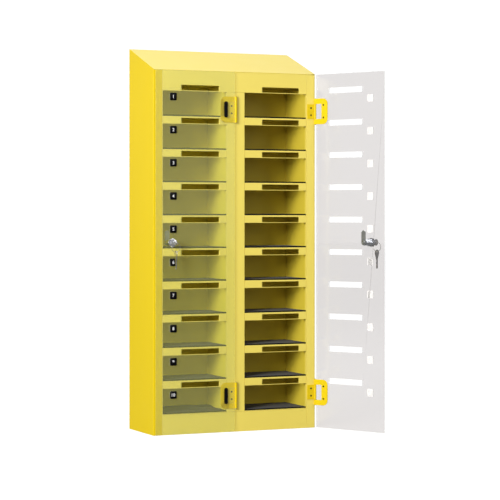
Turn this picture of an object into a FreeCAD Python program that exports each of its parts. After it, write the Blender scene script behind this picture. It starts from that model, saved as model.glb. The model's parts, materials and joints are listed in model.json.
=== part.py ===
"""Two-column, ten-row phone charging locker in folded sheet steel with clear hinged doors.

Units are millimetres. X runs to the viewer's right, Y to the back, Z up. The origin is the centre of
the base. The left door is closed and the right door stands open by the angle door_angle.
"""
import FreeCAD
import Part
import Sketcher
import math
import os
import re

# ---------------------------------------------------------------- driving dimensions

SIZES = {
    # the cabinet
    "cab_width": 500.0,         # over the side panels
    "cab_depth": 190.0,         # front face to back face
    "front_height": 1020.0,     # at the front edge of the roof
    "roof_rise": 70.0,          # how much higher the back is
    "roof_tongue": 12.0,        # folded down behind the head fascia
    "gauge": 1.5,               # sheet steel
    "back_return": 16.0,        # folded back edge of a side panel
    "seam": 0.4,                # gap between a side panel's front return and the inner unit
    "bend_radius": 1.2,         # outside of a folded corner
    "fit_gap": 0.3,             # between sheets that slide together
    # the inner unit
    "row_count": 10.0,
    "stile": 28.0,              # column edge to bay opening
    "plinth_height": 58.0,      # floor of the bottom row
    "head_height": 58.5,        # top of the top opening to the roof edge
    "lip_height": 21.5,         # folded front lip of a shelf
    "service_depth": 52.0,      # rear liner to the back face
    "slot_length": 116.0,       # drop slot
    "slot_height": 15.2,
    "slot_offset": 15.5,        # slot centre, right of the column's centre
    "slot_rail": 1.6,           # steel left below the slot
    "slot_corner": 1.8,
    "mat_thickness": 4.0,
    "mat_gap": 0.6,             # mat to bay wall
    # a door, seen closed
    "door_thickness": 4.5,
    "door_reveal": 1.0,         # short of the cabinet at top and bottom
    "door_inset": 5.0,          # column edge to the door's free edge
    "door_setback": 4.8,        # hinge axis to the door's hinge edge
    "door_corner": 3.0,
    "door_angle": 117.0,        # how far the right door stands open
    # a hinge
    "hinge_inset": 1.0,         # axis to the column's right edge
    "hinge_forward": 4.2,       # axis to the cabinet's front face
    "hinge_drop": 108.0,        # top hinge, below the front height
    "hinge_rise": 103.0,        # bottom hinge, above the base
    "leaf_thickness": 1.5,
    "leaf_clearance": 0.5,      # door leaf to the cabinet's face
    "knuckle_radius": 3.5,
    "pin_radius": 1.5,
    "pin_head_radius": 2.4,
    "running_clearance": 0.05,  # radial, pins and plugs
    "door_leaf_height": 74.0,
    "door_leaf_width": 46.5,
    "door_leaf_corner": 16.0,
    "window_height": 43.0,      # opening in the door leaf, round the cabinet leaf
    "window_width": 24.5,
    "window_gap": 0.5,          # cabinet leaf to the window's edges
    "cabinet_screw_in": 12.0,   # hinge axis to the cabinet leaf's screws
    "cabinet_screw_pitch": 21.0,
    "door_screw_in": 32.0,      # hinge axis to the door's screws
    "door_screw_pitch": 36.0,
    "screw_radius": 1.5,
    "screw_head_radius": 2.7,
    "screw_sink": 1.2,          # depth of a countersunk head
    "strip_width": 11.0,
    "strip_height": 46.0,
    "strip_thickness": 1.5,
    # a number label
    "label_across": 57.0,       # column's left edge to the label's centre
    "label_rise": 54.0,         # bay floor to the label's centre
    "label_width": 20.5,
    "label_height": 21.5,
    "label_thickness": 0.8,
    "label_corner": 3.0,
    # a cam lock
    "lock_row": 5.0,            # the row that the lock stands in
    "lock_across": 53.5,        # column's left edge to the lock's axis
    "lock_over_mat": 1.5,       # mat to the lock nut's flat
    "barrel_radius": 8.5,
    "barrel_length": 36.5,      # behind the head
    "barrel_clearance": 0.2,
    "lock_head_radius": 12.0,
    "lock_head_height": 4.0,
    "nut_margin": 4.0,          # across the flats, past the thread
    "nut_height": 5.0,
    "plug_radius": 6.0,
    "plug_proud": 0.6,          # plug's face in front of the head
    "plug_tail": 7.0,           # side of the square tail
    "tail_clearance": 0.05,
    "keyway_width": 6.4,
    "keyway_gap": 2.4,
    "keyway_depth": 28.0,
    "cam_length": 34.0,         # lock axis to the cam's tip
    "cam_width": 14.0,
    "cam_thickness": 2.0,
    "cam_screw_head": 4.5,
    "cam_screw_height": 2.2,
    "cam_screw_radius": 2.0,
    "cam_screw_depth": 8.0,
    "keeper_gap": 1.2,          # keeper slot round the cam, each side
    # a key, its ring and its spare
    "key_thickness": 2.0,
    "blade_width": 5.8,
    "blade_length": 26.0,
    "bow_radius": 9.5,
    "bow_length": 28.0,
    "bow_shoulder": 9.2,        # half height where the bow starts to narrow
    "key_hole_radius": 2.6,
    "key_hole_in": 5.0,         # bow's end to the hole's centre
    "key_standoff": 0.5,        # bow's shoulder to the plug's face
    "ring_radius": 12.9,        # to the wire's centre
    "ring_wire": 1.1,           # radius of the ring's section
    # charging parts
    "outlet_back": 30.0,        # outlet's centre to the rear liner
    "outlet_rise": 30.0,        # bay floor to an outlet's centre
    "outlet_width": 18.0,
    "outlet_height": 11.0,
    "outlet_depth": 10.0,       # behind the wall
    "outlet_proud": 1.0,        # bezel in front of the wall
    "outlet_lip": 1.5,          # bezel past the cut-out
    "socket_width": 12.4,
    "socket_height": 4.8,
    "tongue_height": 1.6,
    "board_width": 30.0,
    "board_thickness": 1.6,
    "board_end": 14.0,          # board past the end outlets
    "connector_size": 8.0,
    "supply_width": 215.0,
    "supply_height": 115.0,
    "supply_depth": 30.0,
    "supply_in": 98.0,          # side panel's face to the supply
    "supply_low": 150.0,
    "vent_length": 60.0,
    "vent_height": 3.0,
    "vent_pitch": 9.0,
    "vent_rows": 9.0,
    "back_vent_across": 72.0,   # from the back panel's centre to a vent's centre
    "case_vent_across": 39.0,   # from the case's centre to a vent's centre
    "inlet_in": 65.0,           # side panel's face to the inlet's centre
    "inlet_rise": 75.0,
    "inlet_flange_width": 50.0,
    "inlet_flange_height": 24.0,
    "inlet_flange": 3.0,
    "inlet_body_width": 28.0,
    "inlet_body_height": 20.0,
    "inlet_body_depth": 21.0,
    "inlet_mouth_width": 24.0,
    "inlet_mouth_height": 16.0,
    "inlet_mouth_depth": 15.0,
    "contact_length": 12.0,
    "contact_pitch": 7.0,
    "lead_radius": 3.0,
    "lead_behind": 17.0,        # rear liner to the leads' plane
    "mains_lead_up": 55.0,      # supply's base to where the mains lead enters
    "mains_lead_step": 40.0,    # height of each of the mains lead's upper runs
    "left_lead_up": 90.0,       # supply's base to the left lead
    "right_lead_up": 40.0,      # supply's top to the right lead's upper run
    "lead_hole": 5.0,
    # back panel
    "wall_hole_radius": 4.0,
    "wall_hole_in": 70.0,       # side panel's face to the hole
    "wall_hole_low": 30.0,
    "wall_hole_top": 50.0,      # below the back height
    "panel_screw_rows": 5.0,
    "panel_screw_low": 40.0,
    "panel_screw_top": 60.0,    # below the back height
    "panel_screw_in": 9.0,      # side panel's face to the screw
    "panel_screw_radius": 2.0,
    "panel_screw_head": 4.0,
    "panel_screw_height": 2.0,
    "panel_screw_length": 8.0,
}

# ---------------------------------------------------------------- sizes worked out from them

WORKED = {
    "back_height": "front_height + roof_rise",
    "roof_drop": "gauge * sqrt(1 + (roof_rise / cab_depth) ^ 2)",
    "front_y": "0 - cab_depth / 2",
    "back_y": "cab_depth / 2",
    "side_x": "cab_width / 2",
    "col_width": "cab_width / 2",
    "opening_width": "col_width - 2 * stile",
    "row_pitch": "(front_height - plinth_height - head_height + lip_height) / row_count",
    "opening_height": "row_pitch - lip_height",
    "opening_top": "front_height - head_height",
    "ceiling_z": "plinth_height + row_count * row_pitch",
    "front_return": "stile - gauge - seam",
    "inner_x": "side_x - front_return - seam",
    "bay_depth": "cab_depth - service_depth",
    "liner_y": "front_y + bay_depth",
    "slot_rise": "opening_height + slot_rail",
    "slot_middle": "col_width / 2 + slot_offset",
    "axis_across": "col_width - hinge_inset",
    "left_axis_x": "0 - hinge_inset",
    "right_axis_x": "col_width - hinge_inset",
    "axis_y": "front_y - hinge_forward",
    "door_width": "axis_across - door_inset - door_setback",
    "door_height": "front_height - 2 * door_reveal",
    "door_back": "hinge_forward - leaf_clearance - leaf_thickness",
    "door_face": "door_back - door_thickness",
    "hinge_top": "front_height - hinge_drop",
    "nut_across": "2 * barrel_radius + nut_margin",
    "lock_rise": "mat_thickness + lock_over_mat + nut_across / 2",
    "lock_z": "plinth_height + (row_count - lock_row) * row_pitch + lock_rise",
    "lock_x": "lock_across - axis_across",
    "barrel_end": "door_face + barrel_length",
    "plug_front": "door_face - lock_head_height - plug_proud",
    "key_hole_y": "plug_front - key_standoff - bow_length + key_hole_in",
    "ring_low_z": "lock_z - 2 * ring_radius",
    "outlet_across": "bay_depth - outlet_back",
    "board_low": "plinth_height + outlet_rise - board_end",
    "board_height": "(row_count - 1) * row_pitch + 2 * board_end",
    "supply_left": "side_x - supply_in",
    "inlet_across": "side_x - inlet_in",
    "lead_y": "liner_y + lead_behind",
    "mains_lead_rise": "supply_low + mains_lead_up",
    "left_lead_rise": "supply_low + left_lead_up",
    "right_lead_rise": "supply_low + supply_height + right_lead_up",
    "wall_hole_across": "side_x - wall_hole_in",
    "wall_hole_high": "back_height - wall_hole_top",
    "panel_screw_pitch": "(back_height - panel_screw_top - panel_screw_low) / (panel_screw_rows - 1)",
}

doc = FreeCAD.newDocument("phone_locker")


def build_sheet():
    """Put every driving dimension in a spreadsheet cell with its name as the alias."""
    sheet = doc.addObject("Spreadsheet::Sheet", "Sizes")
    for row, (alias, value) in enumerate(SIZES.items(), start=1):
        sheet.set("A%d" % row, alias)
        sheet.set("B%d" % row, "%g" % value)
        sheet.setAlias("B%d" % row, alias)
    doc.recompute()
    return sheet


def build_worked():
    """Hold the worked-out sizes, each bound to the cells that it comes from."""
    worked = doc.addObject("App::VarSet", "Worked")
    for name in WORKED:
        worked.addProperty("App::PropertyFloat", name)
    for name, formula in WORKED.items():
        worked.setExpression(name, expand(formula))
        doc.recompute()
    return worked


def expand(formula):
    """Write plain size names as references to the sheet or to the worked-out sizes."""
    def reference(match):
        word = match.group(0)
        if word in SIZES:
            return "Sizes." + word
        if word in WORKED:
            return "Worked." + word
        return word
    return re.sub(r"[a-z_]+", reference, formula)


def bind(target, prop, formula):
    target.setExpression(prop, expand(str(formula)))


def size(name):
    """The present value of a driving or worked-out size."""
    return float(getattr(SHEET if name in SIZES else WORKED_SIZES, name))


SHEET = build_sheet()
WORKED_SIZES = build_worked()
ROWS = int(size("row_count"))
NODES = {}

# ---------------------------------------------------------------- drawing helpers


def new(kind, name):
    made = doc.addObject(kind, name)
    made.Label = name
    return made


def node(made, name):
    """Name a finished sub-part, which is written to its own file."""
    made.Label = name
    NODES[name] = made
    return made


def put(made, place=("0", "0", "0"), axis=None, angle=0.0):
    """Turn an object about an axis through its own origin and bind where that origin stands."""
    if axis:
        made.Placement = FreeCAD.Placement(FreeCAD.Vector(), FreeCAD.Rotation(FreeCAD.Vector(*axis), angle))
    for letter, formula in zip("xyz", place):
        bind(made, "Placement.Base." + letter, formula)
    return made


def box(name, dims, place):
    made = new("Part::Box", name)
    for prop, formula in zip(("Length", "Width", "Height"), dims):
        bind(made, prop, formula)
    return put(made, place)


NEARLY = 0.01                   # two places closer than this are the same place
STRAIGHT = 1e-6                 # an edge that strays less than this from its axis is straight
LEAST_CUT = 1.0                 # a pocket that takes away less has missed the body

ALONG_X = ((0, 1, 0), 90.0)
ALONG_Y = ((1, 0, 0), -90.0)
ALONG_Z = (None, 0.0)


def cylinder(name, radius, height, place, course=ALONG_Z):
    """A cylinder that starts at place and runs along +X, +Y or +Z."""
    made = new("Part::Cylinder", name)
    bind(made, "Radius", radius)
    bind(made, "Height", height)
    return put(made, place, *course)


def cone(name, radius_start, radius_end, height, place, course=ALONG_Z):
    made = new("Part::Cone", name)
    bind(made, "Radius1", radius_start)
    bind(made, "Radius2", radius_end)
    bind(made, "Height", height)
    return put(made, place, *course)


def fuse(name, parts):
    made = new("Part::MultiFuse", name)
    made.Shapes = parts
    made.Refine = True
    return made


def group(name, parts):
    made = new("Part::Compound", name)
    made.Links = parts
    return made


def cut(name, base, tools):
    made = new("Part::Cut", name)
    made.Base = base
    made.Tool = tools[0] if len(tools) == 1 else group(name + "_tools", tools)
    return made


def body(name):
    return new("PartDesign::Body", name)


def sketch(owner, role, offset=("0", "0", "0")):
    """A sketch on one of the body's own planes, moved by offset in the plane's own directions."""
    made = owner.newObject("Sketcher::SketchObject", owner.Label + "_sketch")
    plane = next(face for face in owner.Origin.OriginFeatures if face.Role == role)
    made.AttachmentSupport = [(plane, "")]
    made.MapMode = "FlatFace"
    for letter, formula in zip("xyz", offset):
        bind(made, "AttachmentOffset.Base." + letter, formula)
    return made


def fix_point(drawing, geometry, end, place):
    """Tie a sketch point to the sketch's axes with named, bound distances."""
    for kind, axis, formula in (("DistanceX", -2, place[0]), ("DistanceY", -1, place[1])):
        if formula == "0":
            drawing.addConstraint(Sketcher.Constraint("PointOnObject", geometry, end, axis))
            continue
        index = drawing.addConstraint(Sketcher.Constraint(kind, -1, 1, geometry, end, 1.0))
        bind(drawing, "Constraints[%d]" % index, formula)


def outline(drawing, points):
    """Draw a closed outline of straight lines through the points."""
    first = drawing.GeometryCount
    count = len(points)
    start = [FreeCAD.Vector(math.cos(step * math.tau / count), math.sin(step * math.tau / count), 0)
             for step in range(count)]
    for step in range(count):
        drawing.addGeometry(Part.LineSegment(start[step], start[(step + 1) % count]), False)
    for step in range(count):
        follows = first + (step + 1) % count
        drawing.addConstraint(Sketcher.Constraint("Coincident", first + step, 2, follows, 1))
        fix_point(drawing, first + step, 1, points[step])


def rectangle(drawing, left, low, width, height):
    right = "%s + %s" % (left, width)
    top = "%s + %s" % (low, height)
    outline(drawing, [(left, low), (right, low), (right, top), (left, top)])


def circle(drawing, place, radius):
    index = drawing.addGeometry(Part.Circle(FreeCAD.Vector(1, 1, 0), FreeCAD.Vector(0, 0, 1), 1.0), False)
    fix_point(drawing, index, 3, place)
    bound = drawing.addConstraint(Sketcher.Constraint("Radius", index, 1.0))
    bind(drawing, "Constraints[%d]" % bound, radius)


def pad(owner, drawing, length, reverse=False, midplane=False):
    made = owner.newObject("PartDesign::Pad", owner.Label + "_pad")
    made.Profile = drawing
    bind(made, "Length", length)
    made.Reversed = reverse
    if midplane:
        made.SideType = "Symmetric"
    return made


def pocket(owner, drawing, length, reverse=False):
    """Cut a sketch into the body; the cut has to take something away."""
    doc.recompute()
    before = owner.Shape.Volume
    made = owner.newObject("PartDesign::Pocket", owner.Label + "_pocket")
    made.Profile = drawing
    bind(made, "Length", length)
    made.Reversed = reverse
    doc.recompute()
    if owner.Shape.Volume > before - LEAST_CUT:
        raise RuntimeError("a pocket in %s cuts nothing" % owner.Label)
    return made


def repeat(owner, pitch, count, feature=None):
    """Repeat one feature, or the whole body where none is given, upwards."""
    made = owner.newObject("PartDesign::LinearPattern", owner.Label + "_rows")
    if feature:
        made.Originals = [feature]
    else:
        made.TransformMode = "Whole shape"
    upright = next(line for line in owner.Origin.OriginFeatures if line.Role == "Z_Axis")
    made.Direction = (upright, [""])
    made.Mode = "Spacing"
    bind(made, "Offset", pitch)
    bind(made, "Occurrences", count)
    owner.Tip = made
    return made


def round_edges(owner, test, radius):
    """Fillet the edges of the body's present shape whose two ends pass the test."""
    doc.recompute()
    tip = owner.Tip
    names = []
    for number, edge in enumerate(tip.Shape.Edges, start=1):
        if len(edge.Vertexes) == 2 and test(edge.Vertexes[0].Point, edge.Vertexes[1].Point):
            names.append("Edge%d" % number)
    made = owner.newObject("PartDesign::Fillet", owner.Label + "_fillet")
    made.Base = (tip, names)
    bind(made, "Radius", radius)
    return made


def along(letter):
    """A test that passes edges that run along one axis."""
    index = "xyz".index(letter)

    def test(start, end):
        moved = [abs(end[i] - start[i]) for i in range(3)]
        return moved[index] > STRAIGHT and sum(moved) - moved[index] < STRAIGHT
    return test


def at_corner(x, y):
    """A test that passes upright edges near one place in plan."""
    def test(start, end):
        near = abs(start[0] - x) < NEARLY and abs(start[1] - y) < NEARLY
        return near and along("z")(start, end)
    return test

# ---------------------------------------------------------------- formulas used more than once

SIDES = {"left": "left_axis_x", "right": "right_axis_x"}
HINGES = {"top": "hinge_top", "bottom": "hinge_rise"}
LEFT_SIDE = "0 - side_x"
SETBACK = "gauge + fit_gap"
UNDER_ROOF = "front_height - roof_drop - fit_gap"


def floor_z(row):
    """Formula for the floor of a row, counted from 1 at the top."""
    return "plinth_height + %d * row_pitch" % (ROWS - row)


# ---------------------------------------------------------------- cabinet shell

def side_panels():
    """The left side panel with its folded edges, and the right one as its mirror image."""
    owner = body("left_side_panel")
    flat = sketch(owner, "YZ_Plane")
    outline(flat, [("0", "0"), ("cab_depth", "0"), ("cab_depth", "back_height"), ("0", "front_height")])
    pad(owner, flat, "gauge")
    front = sketch(owner, "XZ_Plane")
    rectangle(front, "0", "0", "front_return", UNDER_ROOF)
    pad(owner, front, "gauge", reverse=True)
    back = sketch(owner, "XZ_Plane", ("0", "0", "2 * gauge - cab_depth"))
    rectangle(back, "0", "0", "back_return", "back_height - roof_drop - 2 * gauge")
    pad(owner, back, "gauge", reverse=True)
    holes = sketch(owner, "XZ_Plane", ("0", "0", "gauge - cab_depth"))
    circle(holes, ("panel_screw_in", "panel_screw_low"), "panel_screw_radius")
    first = pocket(owner, holes, "gauge", reverse=True)
    repeat(owner, "panel_screw_pitch", "panel_screw_rows", first)
    round_edges(owner, at_corner(0, 0), "bend_radius")
    put(owner, (LEFT_SIDE, "front_y", "0"))
    node(owner, "left_side_panel")
    mirror = new("Part::Mirroring", "right_side_panel")
    mirror.Source = owner
    mirror.Normal = FreeCAD.Vector(1, 0, 0)
    node(mirror, "right_side_panel")


def roof():
    """The sloping sheet between the side panels, with a tongue folded down behind the head fascia."""
    owner = body("roof")
    profile = sketch(owner, "YZ_Plane")
    low_front = "front_height - roof_drop"
    low_back = "back_height - roof_drop"
    outline(profile, [("0", low_front), ("cab_depth", low_back), ("cab_depth", "back_height"),
                      ("0", "front_height")])
    pad(owner, profile, "cab_width - 2 * gauge - 2 * fit_gap")
    tongue = sketch(owner, "YZ_Plane", ("0", "0", "front_return"))
    rectangle(tongue, SETBACK, "front_height - roof_drop - roof_tongue", "gauge", "roof_tongue + gauge / 2")
    pad(owner, tongue, "cab_width - 2 * gauge - 2 * fit_gap - 2 * front_return")
    put(owner, (LEFT_SIDE + " + gauge + fit_gap", "front_y", "0"))
    node(owner, "roof")


def back_panel():
    """The screwed-on back, with wall fixing holes, the mains inlet's cut-out and vents."""
    owner = body("back_panel")
    middle = "side_x - gauge - fit_gap"
    plate = sketch(owner, "XZ_Plane")
    rectangle(plate, "0", "0", "2 * (side_x - gauge - fit_gap)", "back_height - roof_drop - gauge")
    pad(owner, plate, "gauge")
    holes = sketch(owner, "XZ_Plane")
    for sign in "-+":
        for rise in ("wall_hole_low", "wall_hole_high"):
            circle(holes, ("%s %s wall_hole_across" % (middle, sign), rise), "wall_hole_radius")
    inlet = "%s - inlet_across" % middle
    rectangle(holes, inlet + " - inlet_body_width / 2 - fit_gap",
              "inlet_rise - inlet_body_height / 2 - fit_gap",
              "inlet_body_width + 2 * fit_gap", "inlet_body_height + 2 * fit_gap")
    pocket(owner, holes, "gauge", reverse=True)
    screws = sketch(owner, "XZ_Plane")
    edge = "panel_screw_in - gauge - fit_gap"
    for across in (edge, "2 * (side_x - gauge - fit_gap) - (%s)" % edge):
        circle(screws, (across, "panel_screw_low"), "panel_screw_radius + fit_gap")
    first = pocket(owner, screws, "gauge", reverse=True)
    repeat(owner, "panel_screw_pitch", "panel_screw_rows", first)
    vents = sketch(owner, "XZ_Plane")
    for sign in "-+":
        across = "%s %s back_vent_across - vent_length / 2" % (middle, sign)
        rectangle(vents, across, "supply_low", "vent_length", "vent_height")
    first = pocket(owner, vents, "gauge", reverse=True)
    repeat(owner, "vent_pitch", "vent_rows", first)
    put(owner, (LEFT_SIDE + " + gauge + fit_gap", "back_y", "0"))
    node(owner, "back_panel")


def panel_screws():
    """Pan-head screws through the back panel into the side panels' back returns."""
    screws = []
    for side, sign in (("left", "-"), ("right", "+")):
        for row in range(int(size("panel_screw_rows"))):
            name = "panel_screw_%s_%d" % (side, row + 1)
            across = "0 %s (side_x - panel_screw_in)" % sign
            rise = "panel_screw_low + %d * panel_screw_pitch" % row
            head = cylinder(name + "_head", "panel_screw_head", "panel_screw_height",
                            (across, "back_y", rise), ALONG_Y)
            shank = cylinder(name + "_shank", "panel_screw_radius", "panel_screw_length",
                             (across, "back_y - panel_screw_length", rise), ALONG_Y)
            screws.append(fuse(name, [head, shank]))
    node(group("back_panel_screws", screws), "back_panel_screws")


def base_and_plinth():
    inside = "side_x - gauge - fit_gap"
    node(box("base_plate", ("2 * (%s)" % inside, "cab_depth - 3 * gauge - 2 * fit_gap", "gauge"),
             ("0 - (%s)" % inside, "front_y + gauge + fit_gap", "0")), "base_plate")
    owner = body("plinth_front")
    plate = sketch(owner, "XZ_Plane")
    rectangle(plate, "0", "0", "2 * inner_x", "plinth_height - gauge - fit_gap")
    pad(owner, plate, "gauge", reverse=True)
    put(owner, ("0 - inner_x", "front_y", "0"))
    node(owner, "plinth_front")


# ---------------------------------------------------------------- inner unit

def head_fascia():
    """The plate over the top row, with one drop slot for each column."""
    owner = body("head_fascia")
    plate = sketch(owner, "XZ_Plane")
    rectangle(plate, "0", "opening_top", "2 * inner_x", UNDER_ROOF + " - opening_top")
    pad(owner, plate, "gauge", reverse=True)
    slots = sketch(owner, "XZ_Plane")
    for column in range(2):
        left = "inner_x - side_x + %d * col_width + slot_middle - slot_length / 2" % column
        rectangle(slots, left, "opening_top + slot_rail", "slot_length", "slot_height")
    pocket(owner, slots, "gauge")
    low = size("opening_top") + size("slot_rail") / 2
    high = low + size("slot_height") + size("slot_rail")
    round_edges(owner, lambda start, end: along("y")(start, end) and low < start[2] < high, "slot_corner")
    put(owner, ("0 - inner_x", "front_y", "0"))
    node(owner, "head_fascia")


def wall_outline(drawing):
    """A bay wall: flush with the front between plinth and head, set back behind them."""
    low = "gauge + fit_gap"
    open_low = "plinth_height - gauge"
    open_high = "opening_top - fit_gap"
    high = "ceiling_z - gauge - fit_gap"
    outline(drawing, [(SETBACK, low), ("bay_depth", low), ("bay_depth", high), (SETBACK, high),
                      (SETBACK, open_high), ("0", open_high), ("0", open_low), (SETBACK, open_low)])


def cut_bay_wall(owner, wall_x):
    """Cut the outlets' holes and the cam's keeper slot in a wall whose outer face is at wall_x."""
    sockets = sketch(owner, "YZ_Plane", ("0", "0", wall_x))
    rectangle(sockets, "outlet_across - outlet_width / 2",
              "plinth_height + outlet_rise - outlet_height / 2", "outlet_width", "outlet_height")
    first = pocket(owner, sockets, "gauge", reverse=True)
    repeat(owner, "row_pitch", "row_count", first)
    keeper = sketch(owner, "YZ_Plane", ("0", "0", wall_x))
    rectangle(keeper, "barrel_end - hinge_forward - keeper_gap", "lock_z - cam_width / 2 - keeper_gap",
              "cam_thickness + 2 * keeper_gap", "cam_width / 2 + keeper_gap + cam_length")
    pocket(owner, keeper, "gauge", reverse=True)


def liners():
    for side, place in (("left", LEFT_SIDE + " + stile - gauge"), ("right", "side_x - stile")):
        owner = body(side + "_liner")
        wall = sketch(owner, "YZ_Plane")
        wall_outline(wall)
        pad(owner, wall, "gauge")
        if side == "left":
            cut_bay_wall(owner, "0")
        put(owner, (place, "front_y", "0"))
        node(owner, side + "_liner")


def centre_post():
    """A folded channel between the columns: its web shows in front, its sides are bay walls."""
    owner = body("centre_post")
    web = sketch(owner, "XZ_Plane")
    rectangle(web, "0", "plinth_height - gauge",
              "2 * stile", "opening_top - fit_gap - plinth_height + gauge")
    pad(owner, web, "gauge", reverse=True)
    for wall_x in ("0", "2 * stile - gauge"):
        wall = sketch(owner, "YZ_Plane", ("0", "0", wall_x))
        wall_outline(wall)
        pad(owner, wall, "gauge")
    cut_bay_wall(owner, "2 * stile - gauge")
    left_corner = at_corner(0, 0)
    right_corner = at_corner(2 * size("stile"), 0)
    round_edges(owner, lambda start, end: left_corner(start, end) or right_corner(start, end),
                "bend_radius")
    put(owner, ("0 - stile", "front_y", "0"))
    node(owner, "centre_post")


def rear_and_ceiling():
    width = "2 * inner_x"
    low = "gauge + fit_gap"
    sheet = box("rear_sheet", (width, "gauge", "ceiling_z - gauge - fit_gap - (%s)" % low),
                ("0 - inner_x", "liner_y", low))
    hole = cylinder("rear_hole", "lead_hole", "3 * gauge",
                    (RIGHT_BOARD_X, "liner_y - gauge", "right_lead_rise"), ALONG_Y)
    node(cut("rear_liner", sheet, [hole]), "rear_liner")
    node(box("ceiling_sheet", (width, "bay_depth - fit_gap", "gauge"),
             ("0 - inner_x", "front_y + gauge + fit_gap", "ceiling_z - gauge")), "ceiling_sheet")


def shelf(name, column, row):
    """One shelf: a floor with a folded front lip that holds the next bay's drop slot."""
    owner = body(name)
    profile = sketch(owner, "YZ_Plane")
    depth = "bay_depth - fit_gap"
    if row == ROWS:
        rectangle(profile, "0", "0 - gauge", depth, "gauge")
    else:
        outline(profile, [("0", "0 - lip_height"), ("gauge", "0 - lip_height"), ("gauge", "0 - gauge"),
                          (depth, "0 - gauge"), (depth, "0"), ("0", "0")])
    pad(owner, profile, "opening_width - 2 * fit_gap")
    if row < ROWS:
        slot = sketch(owner, "XZ_Plane")
        rectangle(slot, "slot_middle - slot_length / 2 - stile - fit_gap", "slot_rail - lip_height",
                  "slot_length", "slot_height")
        pocket(owner, slot, "gauge")
        low = 0.5 * size("slot_rail") - size("lip_height")
        high = low + size("slot_height") + size("slot_rail")
        round_edges(owner, lambda start, end: along("y")(start, end) and low < start[2] < high,
                    "slot_corner")
    round_edges(owner, lambda start, end: along("x")(start, end) and abs(start[1]) + abs(start[2]) < NEARLY,
                "bend_radius")
    across = LEFT_SIDE + " + %d * col_width + stile + fit_gap" % column
    return put(owner, (across, "front_y", floor_z(row)))


def shelves():
    for row in range(1, ROWS + 1):
        pair = [shelf("shelf_%s_%d" % (side, row), column, row) for column, side in enumerate(SIDES)]
        name = "shelves_row_%d" % row
        node(group(name, pair), name)


def mats():
    """Black foam mats, one on each shelf."""
    pieces = []
    for column in range(2):
        for row in range(1, ROWS + 1):
            across = LEFT_SIDE + " + %d * col_width + stile + mat_gap" % column
            pieces.append(box("mat_%d_%d" % (column + 1, row),
                              ("opening_width - 2 * mat_gap", "bay_depth - 2 * mat_gap", "mat_thickness"),
                              (across, "front_y + mat_gap", floor_z(row))))
    node(group("shelf_mats", pieces), "shelf_mats")


# ---------------------------------------------------------------- charging parts

LEFT_WALL_X = LEFT_SIDE + " + stile"
RIGHT_WALL_X = "stile"
BOARD_BACK = " - gauge - outlet_depth - board_thickness"
RIGHT_BOARD_X = "stile" + BOARD_BACK + " + board_thickness / 2"


def outlets():
    """A column of ten outlets for each charger board; the right column repeats the left one."""
    owner = body("outlet_column")
    inner = sketch(owner, "YZ_Plane", ("0", "0", "0 - gauge - outlet_depth"))
    rectangle(inner, "fit_gap - outlet_width / 2", "fit_gap - outlet_height / 2",
              "outlet_width - 2 * fit_gap", "outlet_height - 2 * fit_gap")
    pad(owner, inner, "gauge + outlet_depth + outlet_proud")
    bezel = sketch(owner, "YZ_Plane")
    rectangle(bezel, "0 - outlet_lip - outlet_width / 2", "0 - outlet_lip - outlet_height / 2",
              "outlet_width + 2 * outlet_lip", "outlet_height + 2 * outlet_lip")
    pad(owner, bezel, "outlet_proud")
    mouth = sketch(owner, "YZ_Plane", ("0", "0", "outlet_proud"))
    rectangle(mouth, "0 - socket_width / 2", "0 - socket_height / 2", "socket_width", "socket_height")
    pocket(owner, mouth, "outlet_depth")
    tongue = sketch(owner, "YZ_Plane", ("0", "0", "0 - outlet_depth + outlet_proud"))
    rectangle(tongue, "2 * fit_gap - socket_width / 2", "0 - tongue_height / 2",
              "socket_width - 4 * fit_gap", "tongue_height")
    pad(owner, tongue, "outlet_depth - 2 * outlet_proud")
    repeat(owner, "row_pitch", "row_count")
    place = ("front_y + outlet_across", "plinth_height + outlet_rise")
    put(owner, (LEFT_WALL_X,) + place)
    second = new("App::Link", "outlet_column_right")
    second.LinkedObject = owner
    put(second, (RIGHT_WALL_X,) + place)
    node(group("usb_outlets", [owner, second]), "usb_outlets")


def charger_boards():
    """A tall board behind each column of outlets, with the plug-in block for its lead."""
    for side, wall in (("left", LEFT_WALL_X), ("right", RIGHT_WALL_X)):
        name = side + "_charger_board"
        board = box(name + "_plate", ("board_thickness", "board_width", "board_height"),
                    (wall + BOARD_BACK, "front_y + outlet_across - board_width / 2", "board_low"))
        block = box(name + "_block", ("connector_size", "connector_size", "connector_size"),
                    (wall + BOARD_BACK + " + board_thickness / 2 - connector_size / 2",
                     "front_y + outlet_across + board_width / 2 - connector_size / 2",
                     side + "_lead_rise - connector_size / 2"))
        node(fuse(name, [board, block]), name)


def is_case_corner(point):
    beside = min(abs(point[0]), abs(point[0] - size("supply_width")))
    above = min(abs(point[2]), abs(point[2] - size("supply_height")))
    return beside < NEARLY and above < NEARLY


def power_supply():
    """The supply's vented case on the rear liner, with a terminal block at its left end."""
    owner = body("power_supply")
    case = sketch(owner, "XZ_Plane")
    rectangle(case, "0", "0", "supply_width", "supply_height")
    pad(owner, case, "supply_depth", reverse=True)
    vents = sketch(owner, "XZ_Plane", ("0", "0", "0 - supply_depth"))
    for sign in "-+":
        left = "supply_width / 2 %s case_vent_across - vent_length / 2" % sign
        rectangle(vents, left, "2 * vent_pitch", "vent_length", "vent_height")
    first = pocket(owner, vents, "gauge", reverse=True)
    repeat(owner, "vent_pitch", "vent_rows", first)
    round_edges(owner, lambda start, end: along("y")(start, end) and is_case_corner(start), "bend_radius")
    put(owner, ("0 - supply_left", "liner_y + gauge", "supply_low"))
    node(owner, "power_supply")


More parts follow.
